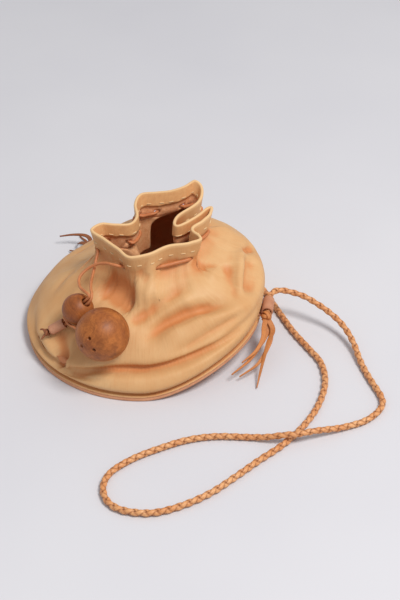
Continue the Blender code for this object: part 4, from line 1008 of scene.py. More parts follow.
@dataclass
class Wall:
    """The leather wall with its flange, its hem turned to the inside, its eyelets and stitches."""

    shape: WallShape
    columns: int = 480
    steps: tuple = (3, 7, 6, 6, 8, 10, 12, 10, 10, 6, 8)
    eyelets: tuple = (238, 284, 321, 351, 11, 49, 63, 78, 99, 118, 136, 156, 176, 197)
    eyelet_length: float = 0.0060
    eyelet_height: float = 0.0034
    stitch_pitch: float = 0.0095
    stitch_length: float = 0.0042
    stitch_depth: float = 0.0090
    stitch_thickness: float = 0.00075
    hollow_reach: tuple[int, int] = (6, 5)
    hollow_depth: float = 0.0042
    smoothings: int = 6
    hem_course: float = 9.97
    inner_courses: tuple[float, float] = (1.0, 9.6)
    lip_tone: tuple[float, float, float] = (0.8, 10.75, 0.2)
    # Painted shade inside the bag: the course where it starts, and its reach.
    inside_shade: tuple[float, float] = (7.9, 1.6)
    grain_rise: float = 0.012
    inner_grain: float = 0.13

    def __post_init__(self) -> None:
        """Work out the outer face and its smoothed outward directions once."""
        self.course, self.grid = self.shape.face(self.columns, self.steps, fine=True)
        self.normal = outward(self.grid)
        for _ in range(self.smoothings):
            beside = np.roll(self.normal, 1, axis=1) + np.roll(self.normal, -1, axis=1)
            above = np.concatenate([self.normal[1:], self.normal[-1:]])
            below = np.concatenate([self.normal[:1], self.normal[:-1]])
            self.normal = unit(2 * self.normal + beside + above + below)
        self.turn = np.arange(self.columns) / self.columns * 360

    def at(self, turn: Array, course: Array) -> tuple[Array, Array]:
        """Points of the outer face at turns and courses, and the outward directions there."""
        shape = (*np.shape(turn), 3)
        turn, course = np.ravel(turn), np.ravel(course)
        face = on_grid(self.grid, self.course, turn, course)
        normal = unit(on_grid(self.normal, self.course, turn, course))
        return face.reshape(shape), normal.reshape(shape)

    def layer(self, courses: Array, depth: float) -> Array:
        """Rows of the face at given courses, moved in by a depth; a course may vary with the turn."""
        courses = np.broadcast_to(courses, (len(courses), self.columns))
        face, normal = self.at(np.broadcast_to(self.turn, courses.shape), courses)
        return face - normal * depth

    def crease_shade(self) -> Array:
        """Painted crease shade: how far each point lies below the mean of the points about 7 mm away, -1 to
        1.
        """
        reach, rise = self.hollow_reach
        around = (np.roll(self.grid, reach, axis=1) + np.roll(self.grid, -reach, axis=1)) / 2
        rows = np.arange(len(self.course))
        above = self.grid[np.minimum(rows + rise, rows[-1])]
        below = self.grid[np.maximum(rows - rise, 0)]
        mean = (around - self.grid) + 0.6 * ((above + below) / 2 - self.grid)
        return np.clip(np.sum(mean * self.normal, axis=2) / self.hollow_depth, -1, 1)

    def raw_edge(self) -> Array:
        """The course of the hem's inner edge at each turn, cut a little wavy by hand."""
        angle = np.radians(self.turn)
        wave = 0.045 * np.sin(9 * angle + 1.3) + 0.035 * np.sin(21 * angle)
        return self.hem_course + wave + 0.02 * np.sin(47 * angle + 0.6)

    def surface(self) -> Surface:
        """The closed profile carried round the bag.

        It runs up the outer face, over the folded edge in a half circle as wide as two layers, down
        the hem's inner side to its wavy raw edge, and down the wall's inner side to the flange.
        """
        thick = self.shape.thickness
        edge = self.grid[-1]
        normal = self.normal[-1]
        rise = unit(self.grid[-1] - self.grid[-4])
        middle = edge - normal * thick
        bend = np.linspace(0, math.pi, 9)[1:-1, None, None]
        over = middle + thick * (np.cos(bend) * normal + np.sin(bend) * rise)
        wavy = self.raw_edge()
        hem = self.layer(np.linspace(11, 0, 9)[:, None] / 11 * (11 - wavy) + wavy, 2 * thick)
        lip = self.layer(np.repeat(wavy[None] - 0.01, 2, axis=0), 1.5 * thick)
        lowest, highest = self.inner_courses
        shared = self.course[(self.course >= lowest) & (self.course < highest)][::-1]
        inner = self.layer(shared[:, None], thick)
        under = self.layer(np.array([[0.6], [0.2], [0.0]]), thick)
        parts = (self.grid, over, hem, lip[:1], inner, under)
        rows = np.concatenate(parts)
        sizes = [len(part) for part in parts]
        shares = ((0, 0, 0, 1, 1, 1), (0, 0, 1, 0.6, 0, 0), (0, 1, 0, 0, 0, 0))
        flesh, hemmed, folded = (np.repeat(share, sizes)[:, None] * np.ones(self.columns) for share in shares)
        outer = len(self.course)
        lip_share, lip_start, lip_reach = self.lip_tone
        folded[:outer] = lip_share * eased_share((self.course[:, None] - lip_start) / lip_reach)
        crease_shade, deep = np.zeros(rows.shape[:2]), np.zeros(rows.shape[:2])
        # Painted shade in the outer face's creases.
        crease_shade[:outer] = self.crease_shade()
        start = len(rows) - len(inner) - len(under)
        # Painted shade: the inner face darkens below the inside shade's course, deeper in the bag.
        deep_start, deep_reach = self.inside_shade
        deep[start:start + len(inner)] = eased_share((deep_start - shared[:, None]) / deep_reach)
        tall = np.concatenate([self.course * self.grain_rise, np.full(len(rows) - outer, self.inner_grain)])
        last = start + len(inner) - 1 + int(np.flatnonzero(self.course >= lowest)[0])
        return Surface(*self.pierced(rows, last)).painted(
            flesh=flesh, hem=hemmed, lip=folded, valley=crease_shade,
            grain=grain_place(self.turn, tall[:, None]), deep=deep,
        )

    def pierced(self, rows: Array, last: int) -> tuple[Array, list[Array]]:
        """The wall's grid with an oval eyelet cut and lined at each of the eyelets' turns.

        A block of faces is left out of the outer and of the inner face. Its rim moves to the oval
        (L cos a, H sin a) / 2, where a is the angle of the rim point's own place in the block.

        Args:
            rows: The rows of points, round the bag and closed on themselves.
            last: What an outer row's number is taken from to give the same course's inner row.

        Returns:
            The points and the faces.
        """
        points = rows.copy()
        count, columns = rows.shape[:2]
        number = np.arange(count * columns).reshape(count, columns)
        above = np.roll(number, -1, axis=0)
        quads = np.stack([number, np.roll(number, -1, axis=1), np.roll(above, -1, axis=1), above], axis=2)
        kept = np.ones((count, columns), bool)
        nine = int(np.searchsorted(self.course, 9.0))
        low, high = nine - 1, nine + 2
        lining = []
        for turn in self.eyelets:
            column = round(turn / 360 * columns)
            pitch = np.linalg.norm(rows[nine, (column + 1) % columns] - rows[nine, column % columns])
            wide = max(2, round(self.eyelet_length / 2 / pitch))
            across = np.arange(column - wide, column + wide + 1)
            side = np.arange(low, high)
            row = np.concatenate([np.full(2 * wide, low), side, np.full(2 * wide, high), side[::-1] + 1])
            ends = np.full(3, across[-1]), np.full(3, across[0])
            place = np.concatenate([across[:-1], ends[0], across[:0:-1], ends[1]])
            angle = np.arctan2((row - nine - 0.5) / 1.5, (place - column) / wide)[:, None]
            place = place % columns
            kept[low:high, across[:-1] % columns] = False
            kept[last - high:last - low, across[:-1] % columns] = False
            rims = []
            for rim_row in (row, last - row):
                rim = rows[rim_row, place]
                along = unit(rim[2 * wide + 1] - rim[-2])
                up = rim[2 * wide + 3 + wide] - rim[wide]
                up = unit(up - along * np.dot(up, along))
                oval = self.eyelet_length * np.cos(angle) * along + self.eyelet_height * np.sin(angle) * up
                points[rim_row, place] = rim.mean(axis=0) + oval / 2
                rims.append(number[rim_row, place])
            outer, inner = rims
            lining.append(np.stack([outer, np.roll(outer, -1), np.roll(inner, -1), inner], axis=1))
        return points.reshape(-1, 3), [quads[kept], *lining]

    def stitches(self) -> Surface:
        """Running stitches along the hem: outside and inside by turns, each a lying capsule.

        A stitch's middle line is level, p(a) = line(s + a l / 2), raised by h (1 - a^4), and its
        section is an ellipse that shrinks as (1 - a^4)^0.5 towards its ends.
        """
        turn = np.linspace(0, 360, 1441)
        face, out = self.at(turn, np.full(len(turn), 11 - self.stitch_depth / self.shape.hem_depth))
        along = lengths_along(face)
        count = round(along[-1] / self.stitch_pitch)
        pitch = along[-1] / count
        share = np.linspace(-0.98, 0.98, 9)
        angle = np.arange(8) / 8 * 2 * math.pi
        whole = None
        for side, depth, start in ((1.0, 0.0, 0.0), (-1.0, 2 * self.shape.thickness, 0.5)):
            middle = (np.arange(count) + start + 0.08 * np.sin(np.arange(count) * 2.4)) * pitch
            where = (middle[:, None] + share * self.stitch_length / 2) % along[-1]
            line, lean = (
                np.stack([np.interp(where, along, value[:, axis]) for axis in range(3)], axis=2)
                for value in (face, out)
            )
            lean = unit(lean)
            swell = np.sqrt(1 - share**4)[None, :, None]
            ahead = unit(np.gradient(line, axis=1))
            beside = np.cross(lean, ahead)
            line = line + lean * (side * self.stitch_thickness * 0.32 * swell - depth)
            half = self.stitch_thickness / 2 * swell[..., None]
            ring = lean[:, :, None] * np.cos(angle)[:, None] + beside[:, :, None] * np.sin(angle)[:, None]
            grid = line[:, :, None] + half * ring
            for one in grid:
                part = Surface.grid(one, False, True, caps=True)
                whole = part if whole is None else whole.joined(part)
        return whole

    def build(self) -> None:
        """The wall with its inner pleat, and its hem stitches."""
        surface = self.surface().joined(InnerPleat(self).surface())
        placed(surface, "leather_wall", WALL_LEATHER, Slot.WALL, Body.BAG, "bag_wall")
        placed(self.stitches(), "hem_stitches", HEM_THREAD, Slot.WALL, Body.BAG)


@dataclass
class InnerPleat:
    """The leather that falls straight from the lacing inside the mouth's left and back lobes."""

    wall: Wall
    turns: tuple[float, float] = (84, 184)
    courses: tuple[float, float] = (8.75, 5.9)
    fades: tuple[float, float] = (20, 22)
    lean: float = 0.003
    notch: tuple[float, float] = (153, 13)
    notch_lean: float = 0.011
    lean_depth: float = 0.012
    gap: float = 0.0003
    thickness: float = 0.0009
    columns: int = 101
    rows: int = 30
    flesh: float = 0.7
    # Painted shade: the valley and inside tones grow with the depth below the lacing.
    valley: tuple[float, float, float] = (0.6, 0.010, 0.02)
    deep: tuple[float, float, float] = (0.3, 0.016, 0.03)

    def toned(self, tone: tuple[float, float, float], fall: Array) -> Array:
        """A painted shade that grows to its share, from its own start of depth and over its own reach."""
        share, start, reach = tone
        return share * eased_share((fall - start) / reach)

    def surface(self) -> Surface:
        """A closed sheet that leaves the wall's inner face and comes back to it.

        p = f + w (g - f), where f is the wall's inner face and w fades to 0 at both sides. The line
        g falls from the lacing and leans b (1 - exp(-d / lean_depth)) towards the mouth's centre at
        depth d, where b is largest at the notch between the two lobes.
        """
        turns, courses = np.linspace(*self.turns, self.columns), np.linspace(*self.courses, self.rows)
        turn, course = np.meshgrid(turns, courses, indexing="ij")
        face, normal = self.wall.at(turn, course)
        face = face - normal * (self.wall.shape.thickness + self.gap)
        top = face[:, :1]
        depth = top[..., 2:] - face[..., 2:]
        inward = unit((np.array([*self.wall.shape.centre, 0.0]) - top) * (1, 1, 0))
        off_notch = (turn[..., None] - self.notch[0]) / self.notch[1]
        bulge = self.lean + self.notch_lean * np.exp(-(off_notch**2))
        straight = top - depth * np.array([0.0, 0.0, 1.0])
        straight = straight + inward * bulge * (1 - np.exp(-depth / self.lean_depth))
        start, end = ((turn - self.turns[0]) / self.fades[0], (self.turns[1] - turn) / self.fades[1])
        front = face + (eased_share(start) * eased_share(end))[..., None] * (straight - face)
        out = unit(np.cross(np.gradient(front, axis=1), np.gradient(front, axis=0)))
        both = np.concatenate([front, (front + out * self.thickness)[:, ::-1]], axis=1)
        fall = np.concatenate([depth[..., 0], depth[:, ::-1, 0]], axis=1)
        grain = grain_place(turn, depth[..., 0])
        return Surface.grid(both, False, True, caps=True).flipped().painted(
            flesh=np.full(fall.shape, self.flesh), hem=np.zeros(fall.shape), lip=np.zeros(fall.shape),
            valley=self.toned(self.valley, fall), deep=self.toned(self.deep, fall),
            grain=np.concatenate([grain, grain[:, ::-1]], axis=1),
        )


def pushed_off(points: Array, targets: Array, distance: float) -> Array:
    """Points moved out to a distance from the nearest of the targets."""
    arm = points[:, None] - targets
    nearest = np.linalg.norm(arm, axis=2).argmin(axis=1)
    arm = points - targets[nearest]
    reach = np.linalg.norm(arm, axis=1, keepdims=True)
    return targets[nearest] + arm * np.maximum(reach, distance) / reach


def pushed_off_face(points: Array, face: Array, normal: Array, side: Array, distance: float) -> Array:
    """Points moved along a face's direction until each is a distance out on its own side."""
    nearest = np.linalg.norm(points[:, None] - face, axis=2).argmin(axis=1)
    out = normal[nearest] * np.reshape(side, (-1, 1))
    height = np.sum((points - face[nearest]) * out, axis=1, keepdims=True)
    return points + out * np.maximum(distance - height, 0)


def drawn_taut(points: Array, held: Array, moves: list, rounds: int = 200) -> Array:
    """A line eased towards the middles of its neighbours, past what it may not touch."""
    for _ in range(rounds):
        middle = points.copy()
        middle[1:-1] = (points[:-2] + points[2:]) / 2
        moved = (points + middle) / 2
        for move in moves:
            moved = move(moved)
        points = np.where(held[:, None], points, moved)
    return points


@dataclass
class Beads:
    """The small bead, the large ball, its thong loop and the leather end tube on the wall."""

    wall: Wall
    bead_radius: float = 0.013
    bead_bore: float = 0.0038
    bead_lip: float = 0.0008
    bead_run: float = 0.003
    bead_axis: tuple[float, float, float] = (0.603, -0.216, 0.768)
    ball_radius: float = 0.0215
    ball_holes: tuple = ((-0.42, -0.79, 0.45), (-0.72, -0.69, 0.02), (-0.25, -0.95, 0.05))
    ball_hole_radius: float = 0.0016
    ball_hole_depth: float = 0.008
    socket: tuple[float, float, float] = (-0.70, 0.58, -0.42)
    socket_radius: float = 0.0028
    socket_depth: float = 0.0080
    thong: float = 0.0024
    spacing: float = 0.0031
    loop_thong: float = 0.0022
    tube_length: float = 0.0135
    tube_wall: float = 0.0012
    tube_seat: tuple[float, float] = (213.8, 6.2)
    knot_radius: float = 0.0030

    def __post_init__(self) -> None:
        """Take the balls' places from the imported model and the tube's lean from the wall."""
        self.axis = unit(self.bead_axis)
        self.bead = np.mean(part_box("small_bead"), axis=0)
        self.ball = np.mean(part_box("large_ball"), axis=0)
        self.tube_radius = self.spacing / 2 + self.thong / 2 + self.wall.shape.clearance + self.tube_wall
        course, grid = self.wall.shape.plain_face()
        turn, row = self.tube_seat
        ahead, behind = on_grid(grid, course, [turn - 3, turn + 3], [row - 0.45, row + 0.45])
        lean = unit(on_grid(outward(grid), course, [turn], [row])[0])
        axis = unit(ahead - behind)
        self.tube_axis = unit(axis - lean * np.dot(axis, lean))
        middle = np.mean(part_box("end_tube"), axis=0)
        self.tube_start = middle - self.tube_axis * self.tube_length / 2
        self.tube_end = middle + self.tube_axis * self.tube_length / 2
        past_tube = 0.5 * self.thong + 0.8 * self.knot_radius + self.wall.shape.clearance
        self.knot = self.tube_end + self.tube_axis * past_tube
        self.side = unit(np.cross(self.axis, self.tube_axis))

    def pair_line(self) -> Array:
        """Middle line of the two strands from above the bead to the end knot."""
        reach = self.bead_radius
        top = reach + self.bead_run + 0.5 * self.thong
        along = np.array([top, 0.5 * reach, 0, -0.5 * reach, -reach])[:, None]
        tube = np.stack([
            self.tube_start, (self.tube_start + self.tube_end) / 2, self.tube_end,
            self.tube_end + self.tube_axis * self.thong * 0.5,
        ])
        return np.vstack([self.bead + self.axis * along, tube])

    def bead_surface(self) -> Surface:
        """A closed profile turned about the bore: ball arc, rounded lips and straight bore."""
        start = math.asin((self.bead_bore + self.bead_lip) / self.bead_radius)
        arc = np.linspace(start, math.pi - start, 60)
        radius = self.bead_radius * np.sin(arc)
        height = self.bead_radius * np.cos(arc)
        turn = np.linspace(0, math.pi / 2, 7)[1:]
        lip_radius = self.bead_bore + self.bead_lip * (1 - np.sin(turn))
        lip_height = height[-1] + 0 * turn + self.bead_lip * 0.6 * (1 - np.cos(turn))
        bore = np.linspace(lip_height[-1], -lip_height[-1], 14)[1:-1]
        radius = np.concatenate([radius, lip_radius, np.full(12, self.bead_bore), lip_radius[::-1]])
        height = np.concatenate([height, lip_height, bore, -lip_height[::-1]])
        side = unit(np.cross(self.axis, (0.0, 0.0, 1.0)))
        up = np.cross(self.axis, side)
        angle = np.arange(96)[None, :, None] / 96 * 2 * math.pi
        grid = self.bead + self.axis * height[:, None, None]
        grid = grid + radius[:, None, None] * (np.cos(angle) * side + np.sin(angle) * up)
        return Surface.grid(grid, True, True).flipped()

    def peg(self, direction: Array, radius: float, depth: float) -> Surface:
        """A round prism into the ball along a direction, for cutting a hole."""
        direction = unit(direction)
        line = self.ball + direction * np.array([self.ball_radius - depth, self.ball_radius + depth])[:, None]
        prism = tube_surface(line, radius, 20)
        return Surface(prism.points, prism.faces)

    def ball_mesh(self) -> bpy.types.Mesh:
        """The ball with its three holes and its socket."""
        ball = Surface.ball(self.ball, self.ball_radius, 64, 120)
        cut = self.peg(np.array(self.socket), self.socket_radius, self.socket_depth)
        for direction in self.ball_holes:
            cut = cut.joined(self.peg(np.array(direction), self.ball_hole_radius, self.ball_hole_depth))
        return carved(ball, cut, "wooden_ball")

    def loop_line(self) -> Array:
        """The thong from the ball's socket, round both strands and back."""
        inward = unit(self.socket)
        room = self.wall.shape.clearance
        half_thong = self.loop_thong / 2
        line = self.pair_line()
        end = (line[4] + line[5]) / 2
        mouth = self.ball + inward * (self.ball_radius + half_thong)
        bottom = self.ball + inward * (self.ball_radius - self.socket_depth + room)
        out = unit(end - mouth)
        across = unit(np.cross(unit(line[5] - line[4]), out))
        beside = unit(across - inward * np.dot(across, inward)) * (half_thong + room)
        half = self.thong + half_thong + 2 * room
        leg = [
            bottom + beside, (bottom + mouth) / 2 + beside, mouth + beside,
            (mouth + end) / 2 + across * half * 0.8, end + across * half,
            end + out * 0.8 * half + across * 0.75 * half,
        ]
        back = [point - 2 * across * np.dot(point - end, across) for point in leg[3:]]
        back = [*back[::-1], mouth - beside, (bottom + mouth) / 2 - beside, bottom - beside]
        points = route_points([*leg, end + out * 1.15 * half, *back], 34)
        held = np.linalg.norm(points - self.ball, axis=1) < self.ball_radius + half_thong / 2
        strands = route_points(line[3:7], 30)
        holder = route_points(np.stack([self.tube_start, self.tube_end]), 12)
        turn, row = np.meshgrid(np.arange(196, 268, 1.0), np.linspace(4.5, 8.0, 43))
        face, normal = self.wall.at(turn.ravel(), row.ravel())
        moves = [
            lambda p: pushed_off(p, strands, half),
            lambda p: pushed_off(p, holder, self.tube_radius + half_thong + room),
            lambda p: pushed_off(p, self.bead[None], self.bead_radius + half_thong + room),
            lambda p: pushed_off_face(p, face, normal, np.ones(len(p)), half_thong + room),
        ]
        return route_points(drawn_taut(points, held, moves), 120)

    def tube_piece(self) -> Surface:
        """A leather strip rolled into a tube with a butted seam."""
        side = unit(np.cross(self.tube_axis, (0.0, 0.0, 1.0)))
        up = np.cross(side, self.tube_axis)
        turn = np.radians(np.linspace(-86, 268, 90))[:, None]
        out = np.cos(turn) * side + np.sin(turn) * up
        line = (self.tube_start + self.tube_end) / 2 + out * (self.tube_radius - self.tube_wall / 2)
        across = np.broadcast_to(self.tube_axis, line.shape)
        return strip_surface(line, across, out, self.tube_length, self.tube_wall, 0.35)

    def build(self) -> list[bpy.types.Object]:
        """All the small pieces at the front.

        Returns:
            The bead and the tube, which the thong goes through.
        """
        bead = placed(self.bead_surface(), "wooden_bead", BEAD_WOOD, Slot.WOOD, Body.BEAD, "small_bead")
        placed(self.ball_mesh(), "wooden_ball", BALL_WOOD, Slot.WOOD, Body.BAG, "large_ball")
        loop = tube_surface(self.loop_line(), self.loop_thong / 2, 14)
        placed(loop, "ball_thong", THONG_LEATHER, Slot.THONG, Body.BAG, "ball_loop")
        tube = self.tube_piece()
        return [bead, placed(tube, "rolled_tube", KEEPER_LEATHER, Slot.KEEPER, Body.BAG, "end_tube")]


@dataclass
class Drawstring:
    """The round thong through the eyelets, both of its ends down through bead and tube."""

    wall: Wall
    beads: Beads
    crossing: float = 0.0024
    step: float = 0.0042
    clearance: float = 0.0006
    laced_swell: float = 0.16
    route_b: tuple = (
        (-0.0172, -0.0290, 0.0832), (-0.0229, -0.0290, 0.0850), (-0.0301, -0.0250, 0.0835),
        (-0.0374, -0.0222, 0.0800), (-0.0440, -0.0225, 0.0760), (-0.0495, -0.0265, 0.0725),
        (-0.0510, -0.0325, 0.0707), (-0.0492, -0.0405, 0.0707), (-0.0456, -0.0463, 0.0713),
        (-0.0424, -0.0500, 0.0708),
    )
    route_a: tuple = (
        (-0.0367, -0.0083, 0.0815), (-0.0380, -0.0140, 0.0775), (-0.0397, -0.0230, 0.0725),
        (-0.0408, -0.0330, 0.0707), (-0.0404, -0.0430, 0.0712), (-0.0393, -0.0500, 0.0706),
    )
    tips: tuple = (
        ((-0.0015, -0.0018, -0.0006), (-0.0028, -0.0036, -0.0016), (-0.0042, -0.0052, -0.0030)),
        ((-0.0018, 0.0018, 0.0008), (-0.0036, 0.0032, 0.0010), (-0.0056, 0.0040, 0.0002)),
    )

    def __post_init__(self) -> None:
        """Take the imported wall's face, which the lacing is drawn over."""
        self.coarse = self.wall.shape.plain_face()

    def frame_at(self, turn: Array) -> tuple[Array, Array]:
        """Middle of the wall at the lacing course, and the outward direction there."""
        course, grid = self.coarse
        nine = np.full(len(turn), 9.0)
        normal = unit(on_grid(outward(grid), course, turn, nine))
        return on_grid(grid, course, turn, nine) - normal * self.wall.shape.thickness / 2, normal

    def lacing(self) -> Array:
        """The thong through the eyelets, drawn taut between them, inside and outside by turns."""
        count = self.wall.shape.plain_columns
        columns = np.arange(-count, 2 * count + 1) / count * 360
        middles, _ = self.frame_at(columns)
        along = lengths_along(middles)
        eyelets = np.array(self.wall.eyelets, float)
        eyelets = np.where(eyelets < eyelets[0], eyelets + 360, eyelets)
        holes = np.interp(eyelets, columns, along)
        stops, sides, held = [holes[:1] - self.crossing], [[1.0]], [[True]]
        for number, hole in enumerate(holes):
            start = -1.0 if number % 2 else 1.0
            crossing = np.array([-0.33, 0.33, 1.0])
            stops.append(hole + crossing * self.crossing)
            sides.append(-start * crossing)
            held.append([True, True, True])
            if number + 1 < len(holes):
                free = holes[number + 1] - hole - 2 * self.crossing
                count = max(int(free / self.step), 1)
                stops.append(hole + self.crossing + free * np.arange(1, count + 1) / count)
                sides.append(np.full(count, -start))
                held.append([False] * (count - 1) + [True])
        stops, sides, held = (np.concatenate(part) for part in (stops, sides, held))
        offset = (self.wall.shape.thickness + self.beads.thong) / 2 + self.clearance
        centres, normals = self.frame_at(np.interp(stops, along, columns))
        turn, row = np.meshgrid(np.arange(0, 360, 1.25), np.linspace(8.4, 9.7, 6))
        course, grid = self.coarse
        face = on_grid(grid, course, turn.ravel(), row.ravel())
        normal = unit(on_grid(outward(grid), course, turn.ravel(), row.ravel()))
        middle = face - normal * self.wall.shape.thickness / 2
        side = np.where(sides < 0, -1.0, 1.0)
        return drawn_taut(
            centres + normals * (sides * offset)[:, None], held.astype(bool),
            [lambda p: pushed_off_face(p, middle, normal, side, offset)],
        )

    def line(self) -> Array:
        """The whole thong, from its knot up, round the mouth, and back down to the knot."""
        pair = self.beads.pair_line()
        apart = self.beads.side * self.beads.spacing / 2
        lace = self.lacing()
        up = route_points(np.vstack([(pair - apart)[::-1], self.route_b[::-1], lace[:1]]), 150)
        down = route_points(np.vstack([lace[-1:], self.route_a, pair + apart]), 130)
        mouth = route_points(lace, 620)
        return np.vstack([up[:-1], mouth, down[1:]])

    def knot_surface(self) -> Surface:
        """An overhand knot with both tips.

        The knot's line is the trefoil (sin t + 2 sin 2t, cos t - 2 cos 2t, -sin 3t), scaled to the
        knot's radius and laid across the thong's end.
        """
        t = np.linspace(0, 2 * math.pi, 160)
        axis = self.beads.tube_axis
        side = unit(np.cross(axis, (0.0, 0.0, 1.0)))
        up = np.cross(side, axis)
        size = self.beads.knot_radius * 0.30
        line = self.beads.knot + size * (
            (np.sin(t) + 2 * np.sin(2 * t))[:, None] * side
            + (np.cos(t) - 2 * np.cos(2 * t))[:, None] * up * 0.9
            - 1.1 * np.sin(3 * t)[:, None] * axis
        )
        knot = tube_surface(line, self.beads.thong * 0.46, 12)
        for tip in self.tips:
            route = route_points(np.vstack([self.beads.knot[None], self.beads.knot + np.array(tip)]), 24)
            share = np.linspace(0, 1, 24)
            knot = knot.joined(tube_surface(route, self.beads.thong * (0.46 - 0.2 * share**2), 12))
        return knot

    def build(self, with_pieces: list[bpy.types.Object]) -> None:
        """The thong and its knot."""
        line = self.line()
        # The knot takes the darker tail leather: painted shade, as it lies in shade by the ball.
        knot = placed(self.knot_surface(), "thong_knot", TAIL_LEATHER_SHADED, Slot.THONG, Body.BAG, "end_knot")
        number = np.arange(len(line))
        laced = eased_share((number - 140) / 20) * eased_share((len(line) - 120 - number) / 20)
        surface = tube_surface(line, self.beads.thong / 2 * (1 + self.laced_swell * laced), 14)
        thong = placed(surface, "leather_drawstring", THONG_LEATHER, Slot.THONG, Body.BAG, "drawstring")


@dataclass
class Strap:
    """The plaited strap, its two leather keepers, its knots and their tails."""

    shape: WallShape
    diameter: float = 0.0056
    lay_length: float = 0.0166
    lace_width: float = 0.0040
    lace_thickness: float = 0.0013
    lace_dip: float = 0.0004
    keeper_length: float = 0.017
    keeper_wall: float = 0.0020
    keeper_tongue: float = 0.0026
    keeper_outset: float = 0.0008
    keeper_turns: dict = field(default_factory=lambda: {Side.RIGHT: -7.5, Side.LEFT: 113.0})
    knot_radius: float = 0.0050
    tail_width: float = 0.0046
    tail_thickness: float = 0.0012
    tail_tip: float = 0.0008
    knot_ring: float = 0.0024
    knot_wave: float = 0.0013
    knot_reach: float = 0.0030
    knot_lace: tuple[float, float] = (0.0030, 0.0016)
    knot_heart: float = 0.0034
    route: tuple = (
        (0.1092, 0.0035, 0.0305), (0.1140, 0.0070, 0.0308), (0.1220, 0.0075, 0.0298),
        (0.1360, 0.0050, 0.0265), (0.1480, -0.0010, 0.0225), (0.1585, -0.0075, 0.0180),
        (0.1670, -0.0155, 0.0140), (0.1730, -0.0250, 0.0105), (0.1775, -0.0370, 0.0070),
        (0.1805, -0.0510, 0.0042), (0.1840, -0.0650, 0.0029), (0.1885, -0.0800, 0.0029),
        (0.1935, -0.0955, 0.0029), (0.1940, -0.1060, 0.0029), (0.1885, -0.1160, 0.0029),
        (0.1770, -0.1260, 0.0029), (0.1600, -0.1335, 0.0036), (0.1490, -0.1380, 0.0058),
        (0.1365, -0.1430, 0.0086), (0.1240, -0.1470, 0.0094), (0.1120, -0.1475, 0.0084),
        (0.1000, -0.1462, 0.0052), (0.0870, -0.1440, 0.0030), (0.0600, -0.1430, 0.0029),
        (0.0380, -0.1470, 0.0029), (0.0170, -0.1560, 0.0029), (-0.0030, -0.1670, 0.0029),
        (-0.0190, -0.1810, 0.0029), (-0.0245, -0.1950, 0.0029), (-0.0220, -0.2090, 0.0029),
        (-0.0130, -0.2185, 0.0029), (0.0020, -0.2228, 0.0029), (0.0180, -0.2220, 0.0029),
        (0.0380, -0.2140, 0.0029), (0.0570, -0.2020, 0.0029), (0.0750, -0.1860, 0.0029),
        (0.0930, -0.1690, 0.0029), (0.1120, -0.1520, 0.0029), (0.1300, -0.1300, 0.0029),
        (0.1430, -0.1060, 0.0029), (0.1500, -0.0800, 0.0029), (0.1485, -0.0560, 0.0029),
        (0.1395, -0.0370, 0.0029), (0.1280, -0.0150, 0.0029), (0.1190, 0.0070, 0.0029),
        (0.1120, 0.0250, 0.0029), (0.1040, 0.0450, 0.0029), (0.0880, 0.0730, 0.0029),
        (0.0620, 0.0980, 0.0029), (0.0310, 0.1140, 0.0029), (0.0030, 0.1170, 0.0040),
        (-0.0120, 0.1110, 0.0075), (-0.0220, 0.1062, 0.0098),
    )
    tails: dict = field(default_factory=lambda: {
        Side.RIGHT: (
            (
                (0.103, -0.039, 0.0215), (0.097, -0.052, 0.0185),
                (0.088, -0.065, 0.0135), (0.0735, -0.0775, 0.009),
            ),
            (
                (0.1068, -0.0385, 0.0195), (0.1035, -0.052, 0.016),
                (0.095, -0.066, 0.0105), (0.08, -0.0765, 0.006),
            ),
            (
                (0.1082, -0.039, 0.025), (0.104, -0.0515, 0.0215),
                (0.0985, -0.068, 0.0105), (0.094, -0.085, 0.0015),
            ),
            (
                (0.101, -0.038, 0.027), (0.0995, -0.05, 0.025),
                (0.0935, -0.061, 0.0205), (0.082, -0.0705, 0.016),
            ),
        ),
        Side.LEFT: (
            (
                (-0.0535, 0.104, 0.014), (-0.0585, 0.113, 0.0135),
                (-0.07, 0.116, 0.0125), (-0.083, 0.1155, 0.011),
            ),
            (
                (-0.0575, 0.1, 0.0125), (-0.0625, 0.106, 0.0105),
                (-0.0655, 0.111, 0.006), (-0.0665, 0.1165, 0.0016),
            ),
            (
                (-0.059, 0.096, 0.009), (-0.0655, 0.099, 0.0065),
                (-0.07, 0.102, 0.004), (-0.0735, 0.106, 0.0016),
            ),
            ((-0.056, 0.1, 0.008), (-0.056, 0.11, 0.004), (-0.059, 0.12, 0.0018), (-0.066, 0.13, 0.001)),
        ),
    })

    def keeper_frame(self, side: Side) -> tuple[Array, Array, Array]:
        """Centre of a keeper's bore, its axis along the rim, and the radial direction."""
        turn = math.radians(self.keeper_turns[side])
        radial = np.array([math.cos(turn), math.sin(turn), 0.0])
        along = np.array([-math.sin(turn), math.cos(turn), 0.0])
        outer = self.diameter / 2 + self.shape.clearance + self.keeper_wall
        seat = radial * self.shape.base.radius
        ends = seat + along * self.keeper_length / 2 * np.array([[-1.0], [1.0]])
        lift = float(self.shape.base.rise(ends[:, 0], ends[:, 1]).max())
        height = self.shape.flange_top() + lift + self.shape.clearance + outer
        return seat + radial * (self.keeper_outset + outer) + (0.0, 0.0, height), along, radial

    def line(self) -> Array:
        """The strap's middle line, from the right knot to the left one."""
        right, along_right, _ = self.keeper_frame(Side.RIGHT)
        left, along_left, _ = self.keeper_frame(Side.LEFT)
        straight = self.keeper_length / 2 + self.diameter / 4
        beyond = self.keeper_length / 2 + self.shape.clearance
        route = [right + along_right * straight, *self.route, left - along_left * straight]
        middle = route_points(route, 1700)
        start = np.linspace(right - along_right * beyond, middle[0], 44)[:-1]
        end = np.linspace(middle[-1], left + along_left * beyond, 44)[1:]
        return np.vstack([start, middle, end])

